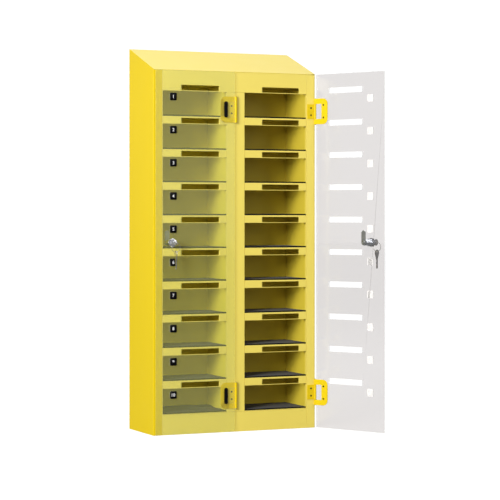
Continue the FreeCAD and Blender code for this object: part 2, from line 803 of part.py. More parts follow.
def power_inlet():
    """A three-pin mains inlet that snaps in from behind."""
    across = "0 - inlet_across"
    flange = box("inlet_flange_plate", ("inlet_flange_width", "inlet_flange", "inlet_flange_height"),
                 (across + " - inlet_flange_width / 2", "back_y", "inlet_rise - inlet_flange_height / 2"))
    shell = box("inlet_shell", ("inlet_body_width", "inlet_body_depth", "inlet_body_height"),
                (across + " - inlet_body_width / 2", "back_y - inlet_body_depth",
                 "inlet_rise - inlet_body_height / 2"))
    mouth = box("inlet_mouth", ("inlet_mouth_width", "inlet_mouth_depth + gauge", "inlet_mouth_height"),
                (across + " - inlet_mouth_width / 2", "back_y + inlet_flange - inlet_mouth_depth",
                 "inlet_rise - inlet_mouth_height / 2"))
    contacts = []
    for number, (step, rise) in enumerate(((-1, "-"), (0, "+"), (1, "-"))):
        contacts.append(box("inlet_contact_%d" % (number + 1), ("gauge", "contact_length", "2 * gauge"),
                            (across + " + %d * contact_pitch - gauge / 2" % step,
                             "back_y + inlet_flange - inlet_mouth_depth - gauge / 2",
                             "inlet_rise %s 2 * gauge - gauge" % rise)))
    hollow = cut("inlet_hollow", fuse("inlet_case", [flange, shell]), [mouth])
    node(fuse("mains_inlet", [hollow] + contacts), "mains_inlet")


LEAD_ARC = 0.45                 # share of the shorter run that an arc takes


def tube(points, radius):
    """A round lead along straight runs joined by tangent arcs; prints each arc's radius."""
    corners = [FreeCAD.Vector(*point) for point in points]
    edges = []
    start = corners[0]
    for before, corner, after in zip(corners, corners[1:], corners[2:]):
        back = (before - corner).normalize()
        ahead = (after - corner).normalize()
        half_turn = (math.pi - back.getAngle(ahead)) / 2
        reach = LEAD_ARC * min(before.distanceToPoint(corner), corner.distanceToPoint(after))
        arc_radius = reach / math.tan(half_turn)
        print("lead arc radius %.1f" % arc_radius)
        into = corner + back * reach
        out = corner + ahead * reach
        centre = corner + (back + ahead).normalize() * (reach / math.sin(half_turn))
        middle = centre + (corner - centre).normalize() * arc_radius
        edges.append(Part.LineSegment(start, into).toShape())
        edges.append(Part.Arc(into, middle, out).toShape())
        start = out
    edges.append(Part.LineSegment(start, corners[-1]).toShape())
    path = Part.Wire(edges)
    section = Part.Wire([Part.makeCircle(radius, corners[0], corners[1] - corners[0])])
    return path.makePipeShell([section], True, True)


def leads():
    """Mains and low-voltage leads in the service space, from face to face."""
    y = size("lead_y")
    inlet_x = -size("inlet_across")
    inlet_y = size("back_y") - size("inlet_body_depth") / 2
    inlet_top = size("inlet_rise") + size("inlet_body_height") / 2
    supply_left = -size("supply_left")
    supply_top = size("supply_low") + size("supply_height")
    rise = size("mains_lead_rise")
    mains = [(inlet_x, inlet_y, inlet_top), (inlet_x, inlet_y, rise - 2 * size("mains_lead_step")),
             (inlet_x, y, rise - size("mains_lead_step")), (inlet_x, y, rise), (supply_left, y, rise)]
    lead = new("Part::Feature", "mains_lead")
    lead.Shape = tube(mains, size("lead_radius"))
    node(lead, "mains_lead")
    block_half = (size("board_width") + size("connector_size")) / 2
    block_back = size("front_y") + size("outlet_across") + block_half
    offset = size("gauge") + size("outlet_depth") + size("board_thickness") / 2
    left_x = size("stile") - size("side_x") - offset
    right_x = size("stile") - offset
    left_rise = size("left_lead_rise")
    right_rise = size("right_lead_rise")
    left = [(supply_left, y, left_rise), (left_x, y, left_rise), (left_x, block_back, left_rise)]
    right = [(right_x, y, supply_top), (right_x, y, right_rise), (right_x, block_back, right_rise)]
    pair = new("Part::Feature", "low_voltage_leads")
    pair.Shape = Part.makeCompound([tube(left, size("lead_radius")), tube(right, size("lead_radius"))])
    node(pair, "low_voltage_leads")


# ---------------------------------------------------------------- hinges

def on_door(made, side):
    """Stand an object, drawn about its hinge axis with the door closed, on one door."""
    axis = FreeCAD.Vector(0, 0, 1)
    if side == "right":
        made.Placement = FreeCAD.Placement(FreeCAD.Vector(), FreeCAD.Rotation(axis, size("door_angle")))
        bind(made, "Placement.Rotation.Angle", "door_angle")
    bind(made, "Placement.Base.x", SIDES[side])
    bind(made, "Placement.Base.y", "axis_y")
    return made


def door_node(name, parts, side):
    return node(on_door(group(name, parts), side), name)


def cabinet_leaf(name, side, rise):
    """The leaf on the cabinet with the middle knuckle, fixed by two countersunk screws."""
    half = "(window_height / 2 - window_gap)"
    plate = box(name + "_plate", ("window_width - window_gap", "leaf_thickness", "2 * " + half),
                ("0 - window_width + window_gap", "hinge_forward - leaf_thickness", "0 - " + half))
    knuckle = cylinder(name + "_knuckle", "knuckle_radius", "2 * " + half, ("0", "0", "0 - " + half))
    bore = cylinder(name + "_bore", "pin_radius", "2 * " + half, ("0", "0", "0 - " + half))
    tools = [bore]
    for sign in "-+":
        tools.append(cone(name + "_sink", "screw_head_radius", "screw_radius", "screw_sink",
                          ("0 - cabinet_screw_in", "hinge_forward - leaf_thickness",
                           "0 %s cabinet_screw_pitch / 2" % sign), ALONG_Y))
        tools.append(cylinder(name + "_hole", "screw_radius", "leaf_thickness",
                              ("0 - cabinet_screw_in", "hinge_forward - leaf_thickness",
                               "0 %s cabinet_screw_pitch / 2" % sign), ALONG_Y))
    leaf = cut(name, fuse(name + "_blank", [plate, knuckle]), tools)
    return put(leaf, (SIDES[side], "axis_y", rise))


def cabinet_leaf_screws(name, side, rise):
    """Two countersunk screws that hold a cabinet leaf to the front."""
    pair = []
    for sign in "-+":
        place = ("0 - cabinet_screw_in", "hinge_forward - leaf_thickness",
                 "0 %s cabinet_screw_pitch / 2" % sign)
        head = cone(name + "_head", "screw_head_radius", "screw_radius", "screw_sink", place, ALONG_Y)
        shank = cylinder(name + "_shank", "screw_radius", "leaf_thickness", place, ALONG_Y)
        pair.append(fuse(name + "_screw", [head, shank]))
    return put(group(name, pair), (SIDES[side], "axis_y", rise))


def hinge_pin(name, side, rise):
    """A pin through the three knuckles, with a low head at each end."""
    half = "(door_leaf_height / 2 + window_gap)"
    shank = cylinder(name + "_shank", "pin_radius", "2 * " + half, ("0", "0", "0 - " + half))
    heads = []
    for end, low in (("low", "0 - %s - leaf_thickness / 2" % half), ("high", half)):
        heads.append(cylinder(name + "_" + end, "pin_head_radius", "leaf_thickness / 2", ("0", "0", low)))
    return put(fuse(name, [shank] + heads), (SIDES[side], "axis_y", rise))


def cabinet_hinge_parts():
    leaves = []
    screws = []
    pins = []
    for side in SIDES:
        for level, rise in HINGES.items():
            name = "%s_%s" % (side, level)
            leaves.append(cabinet_leaf("cabinet_leaf_" + name, side, rise))
            screws.append(cabinet_leaf_screws("leaf_screws_" + name, side, rise))
            pins.append(hinge_pin("hinge_pin_" + name, side, rise))
    node(group("cabinet_leaves", leaves), "cabinet_leaves")
    node(group("cabinet_leaf_screws", screws), "cabinet_leaf_screws")
    node(group("hinge_pins", pins), "hinge_pins")


def door_leaf(name, rise):
    """A D-shaped leaf whose window closes round the cabinet leaf, with a knuckle above and below."""
    owner = body(name + "_sheet")
    face = sketch(owner, "XZ_Plane", ("0 - door_leaf_width", "0 - door_leaf_height / 2", "0 - door_back"))
    arm = "(door_leaf_height - window_height) / 2"
    band = "door_leaf_width - window_width"
    outline(face, [("0", "0"), ("door_leaf_width", "0"), ("door_leaf_width", arm), (band, arm),
                   (band, arm + " + window_height"), ("door_leaf_width", arm + " + window_height"),
                   ("door_leaf_width", "door_leaf_height"), ("0", "door_leaf_height")])
    pad(owner, face, "leaf_thickness", reverse=True)
    outer = size("door_leaf_width")
    round_edges(owner, lambda start, end: along("y")(start, end) and abs(start[0] + outer) < NEARLY,
                "door_leaf_corner")
    knuckles = []
    for low in ("0 - door_leaf_height / 2", "window_height / 2"):
        knuckles.append(cylinder(name + "_knuckle", "knuckle_radius", arm, ("0", "0", low)))
    tools = [cylinder(name + "_bore", "pin_radius + running_clearance", "door_leaf_height",
                      ("0", "0", "0 - door_leaf_height / 2"))]
    for sign in "-+":
        place = ("0 - door_screw_in", "door_back + leaf_thickness - screw_sink",
                 "0 %s door_screw_pitch / 2" % sign)
        tools.append(cone(name + "_sink", "screw_radius", "screw_head_radius", "screw_sink", place,
                          ALONG_Y))
        hole = ("0 - door_screw_in", "door_back", "0 %s door_screw_pitch / 2" % sign)
        tools.append(cylinder(name + "_hole", "screw_radius", "leaf_thickness", hole, ALONG_Y))
    return put(cut(name, fuse(name + "_blank", [owner] + knuckles), tools), ("0", "0", rise))


def door_screws(name, rise):
    """Two countersunk screws through leaf, door sheet and clamp strip."""
    pair = []
    for sign in "-+":
        across = "0 - door_screw_in"
        level = "0 %s door_screw_pitch / 2" % sign
        head = cone(name + "_head", "screw_radius", "screw_head_radius", "screw_sink",
                    (across, "door_back + leaf_thickness - screw_sink", level), ALONG_Y)
        shank = cylinder(name + "_shank", "screw_radius",
                         "leaf_thickness + door_thickness + strip_thickness",
                         (across, "door_face - strip_thickness", level), ALONG_Y)
        pair.append(fuse(name + "_screw", [head, shank]))
    return put(group(name, pair), ("0", "0", rise))


def clamp_strip(name, rise):
    """A round-ended strip outside the door sheet that the door screws pull against."""
    half = "(strip_height / 2 - strip_width / 2)"
    face = "door_face - strip_thickness"
    bar = box(name + "_bar", ("strip_width", "strip_thickness", "2 * " + half),
              ("0 - door_screw_in - strip_width / 2", face, "0 - " + half))
    ends = []
    holes = []
    for sign in "-+":
        ends.append(cylinder(name + "_end", "strip_width / 2", "strip_thickness",
                             ("0 - door_screw_in", face, "0 %s %s" % (sign, half)), ALONG_Y))
        holes.append(cylinder(name + "_hole", "screw_radius", "strip_thickness",
                              ("0 - door_screw_in", face, "0 %s door_screw_pitch / 2" % sign), ALONG_Y))
    return put(cut(name, fuse(name + "_blank", [bar] + ends), holes), ("0", "0", rise))


# ---------------------------------------------------------------- doors and their labels

def is_slot_corner(point, left, right):
    return min(abs(point[0] - left), abs(point[0] - right)) < NEARLY


def door_sheet(side):
    """The clear sheet with ten drop slots, the lock's hole and the hinge screws' holes."""
    owner = body(side + "_door")
    plane = ("0 - door_width - door_setback", "0", "0 - door_back")
    face = sketch(owner, "XZ_Plane", plane)
    rectangle(face, "0", "door_reveal", "door_width", "door_height")
    pad(owner, face, "door_thickness")
    round_edges(owner, along("y"), "door_corner")
    holes = sketch(owner, "XZ_Plane", plane)
    circle(holes, ("lock_x + door_width + door_setback", "lock_z"), "barrel_radius + barrel_clearance")
    for rise in HINGES.values():
        for sign in "-+":
            level = "%s %s door_screw_pitch / 2" % (rise, sign)
            circle(holes, ("door_width + door_setback - door_screw_in", level),
                   "screw_radius + running_clearance")
    pocket(owner, holes, "door_thickness", reverse=True)
    slot = sketch(owner, "XZ_Plane", plane)
    rectangle(slot, "slot_middle - slot_length / 2 - door_inset", "plinth_height + slot_rise",
              "slot_length", "slot_height")
    first = pocket(owner, slot, "door_thickness", reverse=True)
    repeat(owner, "row_pitch", "row_count", first)
    left = size("slot_middle") - size("axis_across") - size("slot_length") / 2
    right = left + size("slot_length")
    round_edges(owner, lambda start, end: along("y")(start, end) and is_slot_corner(start, left, right),
                "slot_corner")
    node(on_door(owner, side), side + "_door")


def labels(side):
    """Ten small plates on the outside, one beside each bay, for the bay numbers."""
    owner = body(side + "_labels")
    corner = ("label_across - axis_across - label_width / 2", "label_rise - label_height / 2",
              "0 - door_face")
    plate = sketch(owner, "XZ_Plane", corner)
    rectangle(plate, "0", "plinth_height", "label_width", "label_height")
    pad(owner, plate, "label_thickness")
    round_edges(owner, along("y"), "label_corner")
    repeat(owner, "row_pitch", "row_count")
    node(on_door(owner, side), side + "_labels")


# ---------------------------------------------------------------- cam locks

def lock_housing(name):
    """A round barrel with a low head, bored for the plug."""
    place = ("lock_x", "door_face", "lock_z")
    barrel = cylinder(name + "_barrel", "barrel_radius", "barrel_length", place, ALONG_Y)
    head = cylinder(name + "_head", "lock_head_radius", "lock_head_height",
                    ("lock_x", "door_face - lock_head_height", "lock_z"), ALONG_Y)
    bore = cylinder(name + "_bore", "plug_radius + running_clearance", "barrel_length + lock_head_height",
                    ("lock_x", "door_face - lock_head_height", "lock_z"), ALONG_Y)
    return cut(name + "_turned", fuse(name + "_blank", [barrel, head]), [bore])


def lock_nut(name):
    """The hexagon nut that clamps the housing to the door sheet."""
    hexagon = new("Part::Prism", name + "_hexagon")
    hexagon.Polygon = 6
    bind(hexagon, "Circumradius", "nut_across / sqrt(3)")
    bind(hexagon, "Height", "nut_height")
    put(hexagon, ("lock_x", "door_back", "lock_z"), *ALONG_Y)
    thread = cylinder(name + "_thread", "barrel_radius", "nut_height", ("lock_x", "door_back", "lock_z"),
                      ALONG_Y)
    return cut(name + "_tapped", hexagon, [thread])


def lock_plug(name):
    """The turning plug: keyway in front, square tail behind for the cam."""
    core = cylinder(name + "_core", "plug_radius", "barrel_end - plug_front",
                    ("lock_x", "plug_front", "lock_z"), ALONG_Y)
    tail = box(name + "_tail", ("plug_tail", "cam_thickness", "plug_tail"),
               ("lock_x - plug_tail / 2", "barrel_end", "lock_z - plug_tail / 2"))
    keyway = box(name + "_keyway", ("keyway_gap", "keyway_depth", "keyway_width"),
                 ("lock_x - keyway_gap / 2", "plug_front", "lock_z - keyway_width / 2"))
    tapped = cylinder(name + "_tapped", "cam_screw_radius", "cam_screw_depth",
                      ("lock_x", "barrel_end + cam_thickness - cam_screw_depth", "lock_z"), ALONG_Y)
    return cut(name + "_turned", fuse(name + "_blank", [core, tail]), [keyway, tapped])


def cam(name):
    """The flat cam on the plug's tail, pointing up while the lock is open."""
    straight = "cam_length - cam_width / 2"
    bar = box(name + "_bar", ("cam_width", "cam_thickness", straight),
              ("lock_x - cam_width / 2", "barrel_end", "lock_z"))
    ends = [cylinder(name + "_end", "cam_width / 2", "cam_thickness",
                     ("lock_x", "barrel_end", "lock_z + " + rise), ALONG_Y) for rise in ("0", straight)]
    hole_side = "(plug_tail + 2 * tail_clearance)"
    square = box(name + "_square", (hole_side, "cam_thickness", hole_side),
                 ("lock_x - %s / 2" % hole_side, "barrel_end", "lock_z - %s / 2" % hole_side))
    return cut(name + "_cut", fuse(name + "_blank", [bar] + ends), [square])


def cam_screw(name):
    """The screw that holds the cam on the plug's tail."""
    behind = "barrel_end + cam_thickness"
    head = cylinder(name + "_head", "cam_screw_head", "cam_screw_height",
                    ("lock_x", behind, "lock_z"), ALONG_Y)
    shank = cylinder(name + "_shank", "cam_screw_radius", "cam_screw_depth",
                     ("lock_x", behind + " - cam_screw_depth", "lock_z"), ALONG_Y)
    return fuse(name + "_turned", [head, shank])


def key(name):
    """A flat key about its ring hole, with the blade pointing along +Y."""
    owner = body(name + "_blank")
    to_end = "bow_length - key_hole_in"
    bow = sketch(owner, "YZ_Plane")
    circle(bow, ("bow_radius - key_hole_in", "0"), "bow_radius")
    pad(owner, bow, "key_thickness", midplane=True)
    shoulder = sketch(owner, "YZ_Plane")
    middle = "bow_radius - key_hole_in"
    outline(shoulder, [(middle, "0 - bow_shoulder"), (to_end, "0 - blade_width / 2"),
                       (to_end, "blade_width / 2"), (middle, "bow_shoulder")])
    pad(owner, shoulder, "key_thickness", midplane=True)
    blade = sketch(owner, "YZ_Plane")
    tip = to_end + " + blade_length"
    slope = tip + " - blade_width / 3"
    outline(blade, [(to_end, "0 - blade_width / 2"), (slope, "0 - blade_width / 2"),
                    (tip, "0"), (slope, "blade_width / 2"), (to_end, "blade_width / 2")])
    pad(owner, blade, "key_thickness", midplane=True)
    hole = cylinder(name + "_hole", "key_hole_radius", "2 * key_thickness", ("0 - key_thickness", "0", "0"),
                    ALONG_X)
    return cut(name + "_cut", owner, [hole])


def lock_and_keys(side):
    """Everything of one door's lock, with the key in and the spare hanging from the ring."""
    door_node(side + "_lock_housing", [lock_housing(side + "_housing")], side)
    door_node(side + "_lock_nut", [lock_nut(side + "_nut")], side)
    door_node(side + "_lock_plug", [lock_plug(side + "_plug")], side)
    door_node(side + "_cam", [cam(side + "_cam_plate")], side)
    door_node(side + "_cam_screw", [cam_screw(side + "_screw")], side)
    inserted = put(key(side + "_inserted_key"), ("lock_x", "key_hole_y", "lock_z"))
    door_node(side + "_key", [inserted], side)
    ring = new("Part::Torus", side + "_ring_wire")
    bind(ring, "Radius1", "ring_radius")
    bind(ring, "Radius2", "ring_wire")
    put(ring, ("lock_x", "key_hole_y", "lock_z - ring_radius"), *ALONG_Y)
    door_node(side + "_split_ring", [ring], side)
    spare = put(key(side + "_hanging_key"), ("lock_x", "key_hole_y", "ring_low_z"), (1, 0, 0), -90.0)
    door_node(side + "_spare_key", [spare], side)


def door(side):
    door_sheet(side)
    labels(side)
    fitted = {"door_leaves": door_leaf, "clamp_strips": clamp_strip, "door_screws": door_screws}
    for name, make in fitted.items():
        label = "%s_%s" % (side, name)
        door_node(label, [make("%s_%s" % (label, level), rise) for level, rise in HINGES.items()], side)
    lock_and_keys(side)


# ---------------------------------------------------------------- build, check and export

def check():
    """Stop if any object failed, or a sub-part is empty, invalid or not solid."""
    doc.recompute()
    for made in doc.Objects:
        if "Invalid" in made.State or "Error" in made.State:
            raise RuntimeError("%s failed: %s" % (made.Label, made.State))
    for name, made in NODES.items():
        shape = made.Shape
        if shape.isNull() or not shape.isValid() or not shape.Solids:
            raise RuntimeError("%s has no valid solid" % name)


def export():
    os.makedirs("parts", exist_ok=True)
    for name, made in NODES.items():
        made.Shape.exportStep("parts/%s.step" % name)
        print("%-24s %3d solids %10.0f mm3" % (name, len(made.Shape.Solids), made.Shape.Volume))
    print(len(NODES), "nodes")


def main():
    side_panels()
    roof()
    back_panel()
    panel_screws()
    base_and_plinth()
    head_fascia()
    liners()
    centre_post()
    rear_and_ceiling()
    shelves()
    mats()
    outlets()
    charger_boards()
    power_supply()
    power_inlet()
    leads()
    cabinet_hinge_parts()
    for side in SIDES:
        door(side)
    check()
    export()


main()
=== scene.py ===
"""Studio picture of a phone charging locker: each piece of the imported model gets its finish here."""
import json
import math

import bmesh
import bpy
from bpy.props import FloatProperty, FloatVectorProperty, IntProperty, PointerProperty
from mathutils import Matrix, Vector

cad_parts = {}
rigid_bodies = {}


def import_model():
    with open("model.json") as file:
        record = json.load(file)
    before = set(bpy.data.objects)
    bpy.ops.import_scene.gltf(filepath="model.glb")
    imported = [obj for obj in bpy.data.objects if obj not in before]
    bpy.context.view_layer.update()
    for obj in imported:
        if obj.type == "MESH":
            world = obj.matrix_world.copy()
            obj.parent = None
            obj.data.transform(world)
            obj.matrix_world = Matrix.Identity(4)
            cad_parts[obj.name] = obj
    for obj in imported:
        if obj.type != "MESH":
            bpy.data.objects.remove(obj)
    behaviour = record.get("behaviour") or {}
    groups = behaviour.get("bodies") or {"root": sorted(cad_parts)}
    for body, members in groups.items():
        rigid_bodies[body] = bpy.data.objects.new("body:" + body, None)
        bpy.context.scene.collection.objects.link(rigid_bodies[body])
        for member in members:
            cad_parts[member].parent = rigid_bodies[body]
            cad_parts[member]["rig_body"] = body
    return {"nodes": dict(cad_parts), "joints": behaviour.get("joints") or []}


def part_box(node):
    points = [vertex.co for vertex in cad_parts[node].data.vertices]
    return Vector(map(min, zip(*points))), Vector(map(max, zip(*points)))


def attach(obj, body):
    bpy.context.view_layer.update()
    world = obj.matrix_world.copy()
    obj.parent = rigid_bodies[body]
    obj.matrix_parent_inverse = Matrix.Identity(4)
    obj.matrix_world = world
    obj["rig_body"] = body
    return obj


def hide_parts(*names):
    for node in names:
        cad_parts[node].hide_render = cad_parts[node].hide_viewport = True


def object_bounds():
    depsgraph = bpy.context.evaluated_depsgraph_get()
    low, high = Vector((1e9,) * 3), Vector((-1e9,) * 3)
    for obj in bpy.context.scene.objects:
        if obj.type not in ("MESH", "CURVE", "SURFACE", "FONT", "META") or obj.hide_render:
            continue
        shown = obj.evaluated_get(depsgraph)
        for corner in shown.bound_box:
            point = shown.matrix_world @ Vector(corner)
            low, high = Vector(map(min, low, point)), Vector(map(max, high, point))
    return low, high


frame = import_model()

bl_info = {
    "name": "Phone locker finishes",
    "version": (1, 0, 0),
    "blender": (4, 5, 0),
    "location": "3D View > Sidebar > Locker",
    "description": "Makes the visible pieces, finishes and studio of a phone charging locker",
    "category": "Object",
}

CAD_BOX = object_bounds()
JOINTS = {joint["name"]: joint for joint in frame["joints"]}
CAD_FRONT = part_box("head_fascia")[0][1]
SIDES = ("left", "right")
MM = 0.001
WHOLE_TURN = math.tau
# Points of a mesh nearer than this are one point.
WELD = 0.002 * MM
# Turns that make a piece drawn facing +Z look to the front or to the back.
FORWARDS = (math.radians(90), 0, 0)
BACKWARDS = (math.radians(-90), 0, 0)
# Share of a label's thickness that is its adhesive back.
BACK_SHARE = 0.2
# Sizes of the cam locks and their keys.
HEAD_HEIGHT = 4 * MM
BARREL_RADIUS = 8.5 * MM
BLADE_LENGTH = 26 * MM
BLADE_WIDTH = 5.8 * MM
RING_HOLE = 2.6 * MM


def linear(code):
    """Linear red, green and blue from an sRGB hex code."""
    parts = [int(code[place:place + 2], 16) / 255 for place in (0, 2, 4)]
    return tuple(part / 12.92 if part <= 0.04045 else ((part + 0.055) / 1.055) ** 2.4 for part in parts)


# ---------------------------------------------------------------- settings a user would change

def colour(name, description, code):
    return FloatVectorProperty(name=name, description=description, subtype="COLOR", size=3, min=0, max=1,
                               default=linear(code))


def length(name, description, millimetres):
    return FloatProperty(name=name, description=description, unit="LENGTH", subtype="DISTANCE", min=0,
                         precision=5, default=millimetres * MM)


def strength(name, description, value):
    return FloatProperty(name=name, description=description, default=value, min=0)


class LockerColours(bpy.types.PropertyGroup):
    """Colours of the locker's finishes."""

    coat: colour("Powder coat", "Bright yellow outside coat of the cabinet", "E7C916")
    # Painted highlight: the coat made paler on the front members and the roof, standing in for the lights'
    # reflection on them.
    front_coat: colour("Front coat",
                       "The same coat on the front members and the roof, under the lights' bloom", "F4DE64")
    # Painted light: the coat made paler inside the left bays.
    left_bays: colour("Left bay coat", "The same coat inside the left bays", "F6E34E")
    # Painted shade: the coat made darker and greener inside the right bays, standing in for the shade in
    # them.
    right_bays: colour("Right bay coat", "The same coat inside the right bays, darkened as painted shade", "DCC53E")
    closed_sheet: colour("Left door sheet", "What the left door's clear sheet lets through", "FBFFFC")
    # Painted light: the left sheet's matt veil is given the coat's yellow, standing in for the coat's light
    # caught in the sheet.
    closed_bloom: colour("Left door bloom",
                         "Light scattered by the left sheet, coloured by the coat behind it", "FFFF95")
    open_sheet: colour("Right door sheet", "What the right door's clear sheet lets through", "E0DDDC")
    # Painted glow: the sheets' edges give off light in these colours though they are no lamp; the left one
    # takes the coat's yellow.
    left_edge: colour("Left door edges", "Polished edges, which gather the light of the coat", "E6DE6A")
    right_edge: colour("Right door edges", "Polished edges, which gather the room's light", "EDEFEC")
    foam: colour("Foam mats", "Black closed-cell foam", "0C0C0E")
    plastic: colour("Moulded plastic", "Black moulded parts", "070708")
    label: colour("Label plates", "Black printed faces of the labels", "050506")
    ink: colour("Label numbers", "White numbers", "F4F4F2")
    # The label backs' finish also gives off a painted glow in this white, standing in for light caught in the
    # clear sheet; the outlet tongues share it.
    backing: colour("Label backs", "White adhesive behind the labels", "F2F2F0")
    chrome: colour("Chrome", "Lock housings and nuts", "DCDEE4")
    nickel: colour("Nickel", "Keys and rings", "DAD9D6")
    zinc: colour("Zinc", "Cams, pins and screws that don't show in front", "A6A7A3")
    dark_screw: colour("Dark screws", "Blackened screws of the hinges", "3A3420")
    board: colour("Circuit board", "Green solder mask", "14492A")
    case: colour("Supply case", "Mill-finish aluminium", "A9ABAC")
    brass: colour("Contacts", "Brass blades of the mains inlet and outlets", "B08D4A")
    floor: colour("Floor", "Pale studio floor", "F2F2F2")


class LockerSizes(bpy.types.PropertyGroup):
    """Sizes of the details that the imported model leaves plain."""

    sheet_edge: length("Sheet edge", "Radius that the coat gives a sheet's cut edge", 0.35)
    door_edge: length("Door edge", "Polished round on the clear sheet's edges", 0.6)
    small_edge: length("Small edge", "Round on hinges, cams and nuts", 0.3)
    thread_pitch: length("Thread pitch", "Lock barrel's thread", 1.5)
    thread_depth: length("Thread depth", "Lock barrel's thread", 0.45)
    wire: length("Ring wire", "Diameter of a split ring's wire", 1.1)
    recess: length("Screw recess",
                   "Width across a screw's cross recess, times the head's radius in millimetres", 0.95)
    number: length("Number height", "Height of a label's number", 9.0)
    ripple: length("Mat ripple", "How high a foam mat lifts in places", 0.5)
    buckle: length("Mat buckle", "How high the bottom left mat lifts at the back", 9.0)
    ripple_size: length("Ripple size", "Distance from one ripple to the next", 90.0)
    ring_turns: IntProperty(name="Ring turns", description="Turns of wire in a split ring", default=2, min=1)
    seed: IntProperty(name="Seed", description="Chance turn of each screw", default=7, min=0)


class LockerStage(bpy.types.PropertyGroup):
    """Camera and lights."""

    distance: length("Camera distance", "Camera to the centre of the cabinet, on the floor plan", 5428.0)
    height: length("Camera height", "Lens above the floor", 618.8)
    around: FloatProperty(name="Camera turn", description="Camera's place, round to the left of the front",
                          subtype="ANGLE", default=math.radians(23.41))
    heading: FloatProperty(name="Camera heading", subtype="ANGLE", default=math.radians(24.25),
                           description="Camera's view, turned to the right of straight on")
    lens: FloatProperty(name="Lens", description="Focal length in millimetres", default=135.69, min=1)
    shift: FloatProperty(name="Vertical shift", default=-0.0735,
                         description="Keeps uprights parallel with the eye line off centre")
    key: strength("Key light", "Power of the front left light in watts", 255)
    fill: strength("Fill light", "Power of the right light in watts", 20)
    top: strength("Top light", "Power of the light over the roof in watts", 26)
    rear: strength("Rear light", "Power of the light over the back in watts", 16)
    world: strength("Studio walls", "Light that the white surroundings give", 0.38)
    backdrop: strength("Backdrop", "How white the surroundings look behind the cabinet", 1.1)


# ---------------------------------------------------------------- nodes and materials

def add(tree, kind, inputs=None, **settings):
    """Add a node with its settings; an input is a value, or the socket that feeds it."""
    made = tree.nodes.new(kind)
    for name, value in settings.items():
        setattr(made, name, value)
    for name, value in (inputs or {}).items():
        if isinstance(value, bpy.types.NodeSocket):
            tree.links.new(value, made.inputs[name])
        else:
            made.inputs[name].default_value = value
    return made


def new_material(name):
    """An empty material, its tree, and places in it that stay with the object."""
    material = bpy.data.materials.new(name)
    material.use_nodes = True
    tree = material.node_tree
    tree.nodes.clear()
    return material, tree, add(tree, "ShaderNodeTexCoord").outputs["Object"]


def skin(material, tree, inputs):
    """End a material in one opaque surface."""
    surface = add(tree, "ShaderNodeBsdfPrincipled", inputs)
    add(tree, "ShaderNodeOutputMaterial", {"Surface": surface.outputs["BSDF"]})
    return material


def noise(tree, place, size, detail):
    """Soft patches of a real size."""
    patches = add(tree, "ShaderNodeTexNoise", {"Vector": place, "Scale": 1 / size, "Detail": detail})
    return patches.outputs["Fac"]


def cells(tree, place, size):
    """Rounded cells of a real size."""
    return add(tree, "ShaderNodeTexVoronoi", {"Vector": place, "Scale": 1 / size}).outputs["Distance"]


def relief(tree, height, strength, depth):
    """Relief too fine to model."""
    bump = add(tree, "ShaderNodeBump", {"Height": height, "Strength": strength, "Distance": depth})
    return bump.outputs["Normal"]


def calculate(tree, operation, first, second):
    """One operation on two numbers or sockets."""
    return add(tree, "ShaderNodeMath", {0: first, 1: second}, operation=operation).outputs[0]


def rgba(colour_value):
    return (*colour_value, 1.0)


def blended(tree, share, *ends):
    """Go from one colour to another, each a value or a socket, as the share rises from 0 to 1."""
    mixed = add(tree, "ShaderNodeMix", {"Factor": share}, data_type="RGBA")
    for socket, end in zip([socket for socket in mixed.inputs if socket.type == "RGBA"], ends):
        if isinstance(end, bpy.types.NodeSocket):
            tree.links.new(end, socket)
        else:
            socket.default_value = rgba(end)
    return next(socket for socket in mixed.outputs if socket.type == "RGBA")


def varied(tree, colour_value, place, size, amount):
    """Colour that drifts lighter and darker by a share of itself over patches of a real size."""
    low = [part * (1 - amount) for part in colour_value]
    high = [min(part * (1 + amount), 1.0) for part in colour_value]
    return blended(tree, noise(tree, place, size, 3.0), low, high)


def spread(tree, value, low, high):
    return add(tree, "ShaderNodeMapRange", {"Value": value, "To Min": low, "To Max": high}).outputs["Result"]


# How far apart the coat's drifts of tone lie, and over what depth behind the front face the front's painted
# highlight gives way to the colours given for behind it.
COAT_PATCH = 140 * MM
PAINTED_LIGHT_FADE = (1.6 * MM, 12 * MM)


def powder_coat(name, colour_value, bays=None, gloss=0.5, peel=2.2 * MM):
    """Polyester powder coat baked on steel.

    The eye sees a full, slightly soft gloss over faint orange peel, which spreads reflections of the lights.
    Where colours are given for behind the front face, the coat takes them there and is duller, and the front
    face's paler colour is a painted highlight.
    The colour given for the left bays is painted light, the one for the right bays painted shade.
    """
    material, tree, place = new_material(name)
    coat = varied(tree, colour_value, place, COAT_PATCH, 0.02)
    # Behind the front face the coat turns to the colours given for behind it: painted light in the left bays,
    # painted shade in the right bays.
    if bays:
        parts = add(tree, "ShaderNodeSeparateXYZ", {"Vector": place}).outputs
        deep = add(tree, "ShaderNodeMapRange", {"Value": parts["Y"], "From Min": CAD_FRONT + PAINTED_LIGHT_FADE[0],
                                                "From Max": CAD_FRONT + PAINTED_LIGHT_FADE[1]}).outputs["Result"]
        right = calculate(tree, "GREATER_THAN", parts["X"], 0.0)
        left_coat, right_coat = (varied(tree, bay, place, COAT_PATCH, 0.02) for bay in bays)
        coat = blended(tree, deep, coat, blended(tree, right, left_coat, right_coat))
        gloss = spread(tree, deep, gloss, gloss / 3)
    return skin(material, tree, {
        "Base Color": coat,
        "Roughness": spread(tree, noise(tree, place, 60 * MM, 4.0), 0.32, 0.4),
        "Specular IOR Level": gloss,
        "Normal": relief(tree, noise(tree, place, peel, 2.0), 0.12, 0.12 * MM),
    })


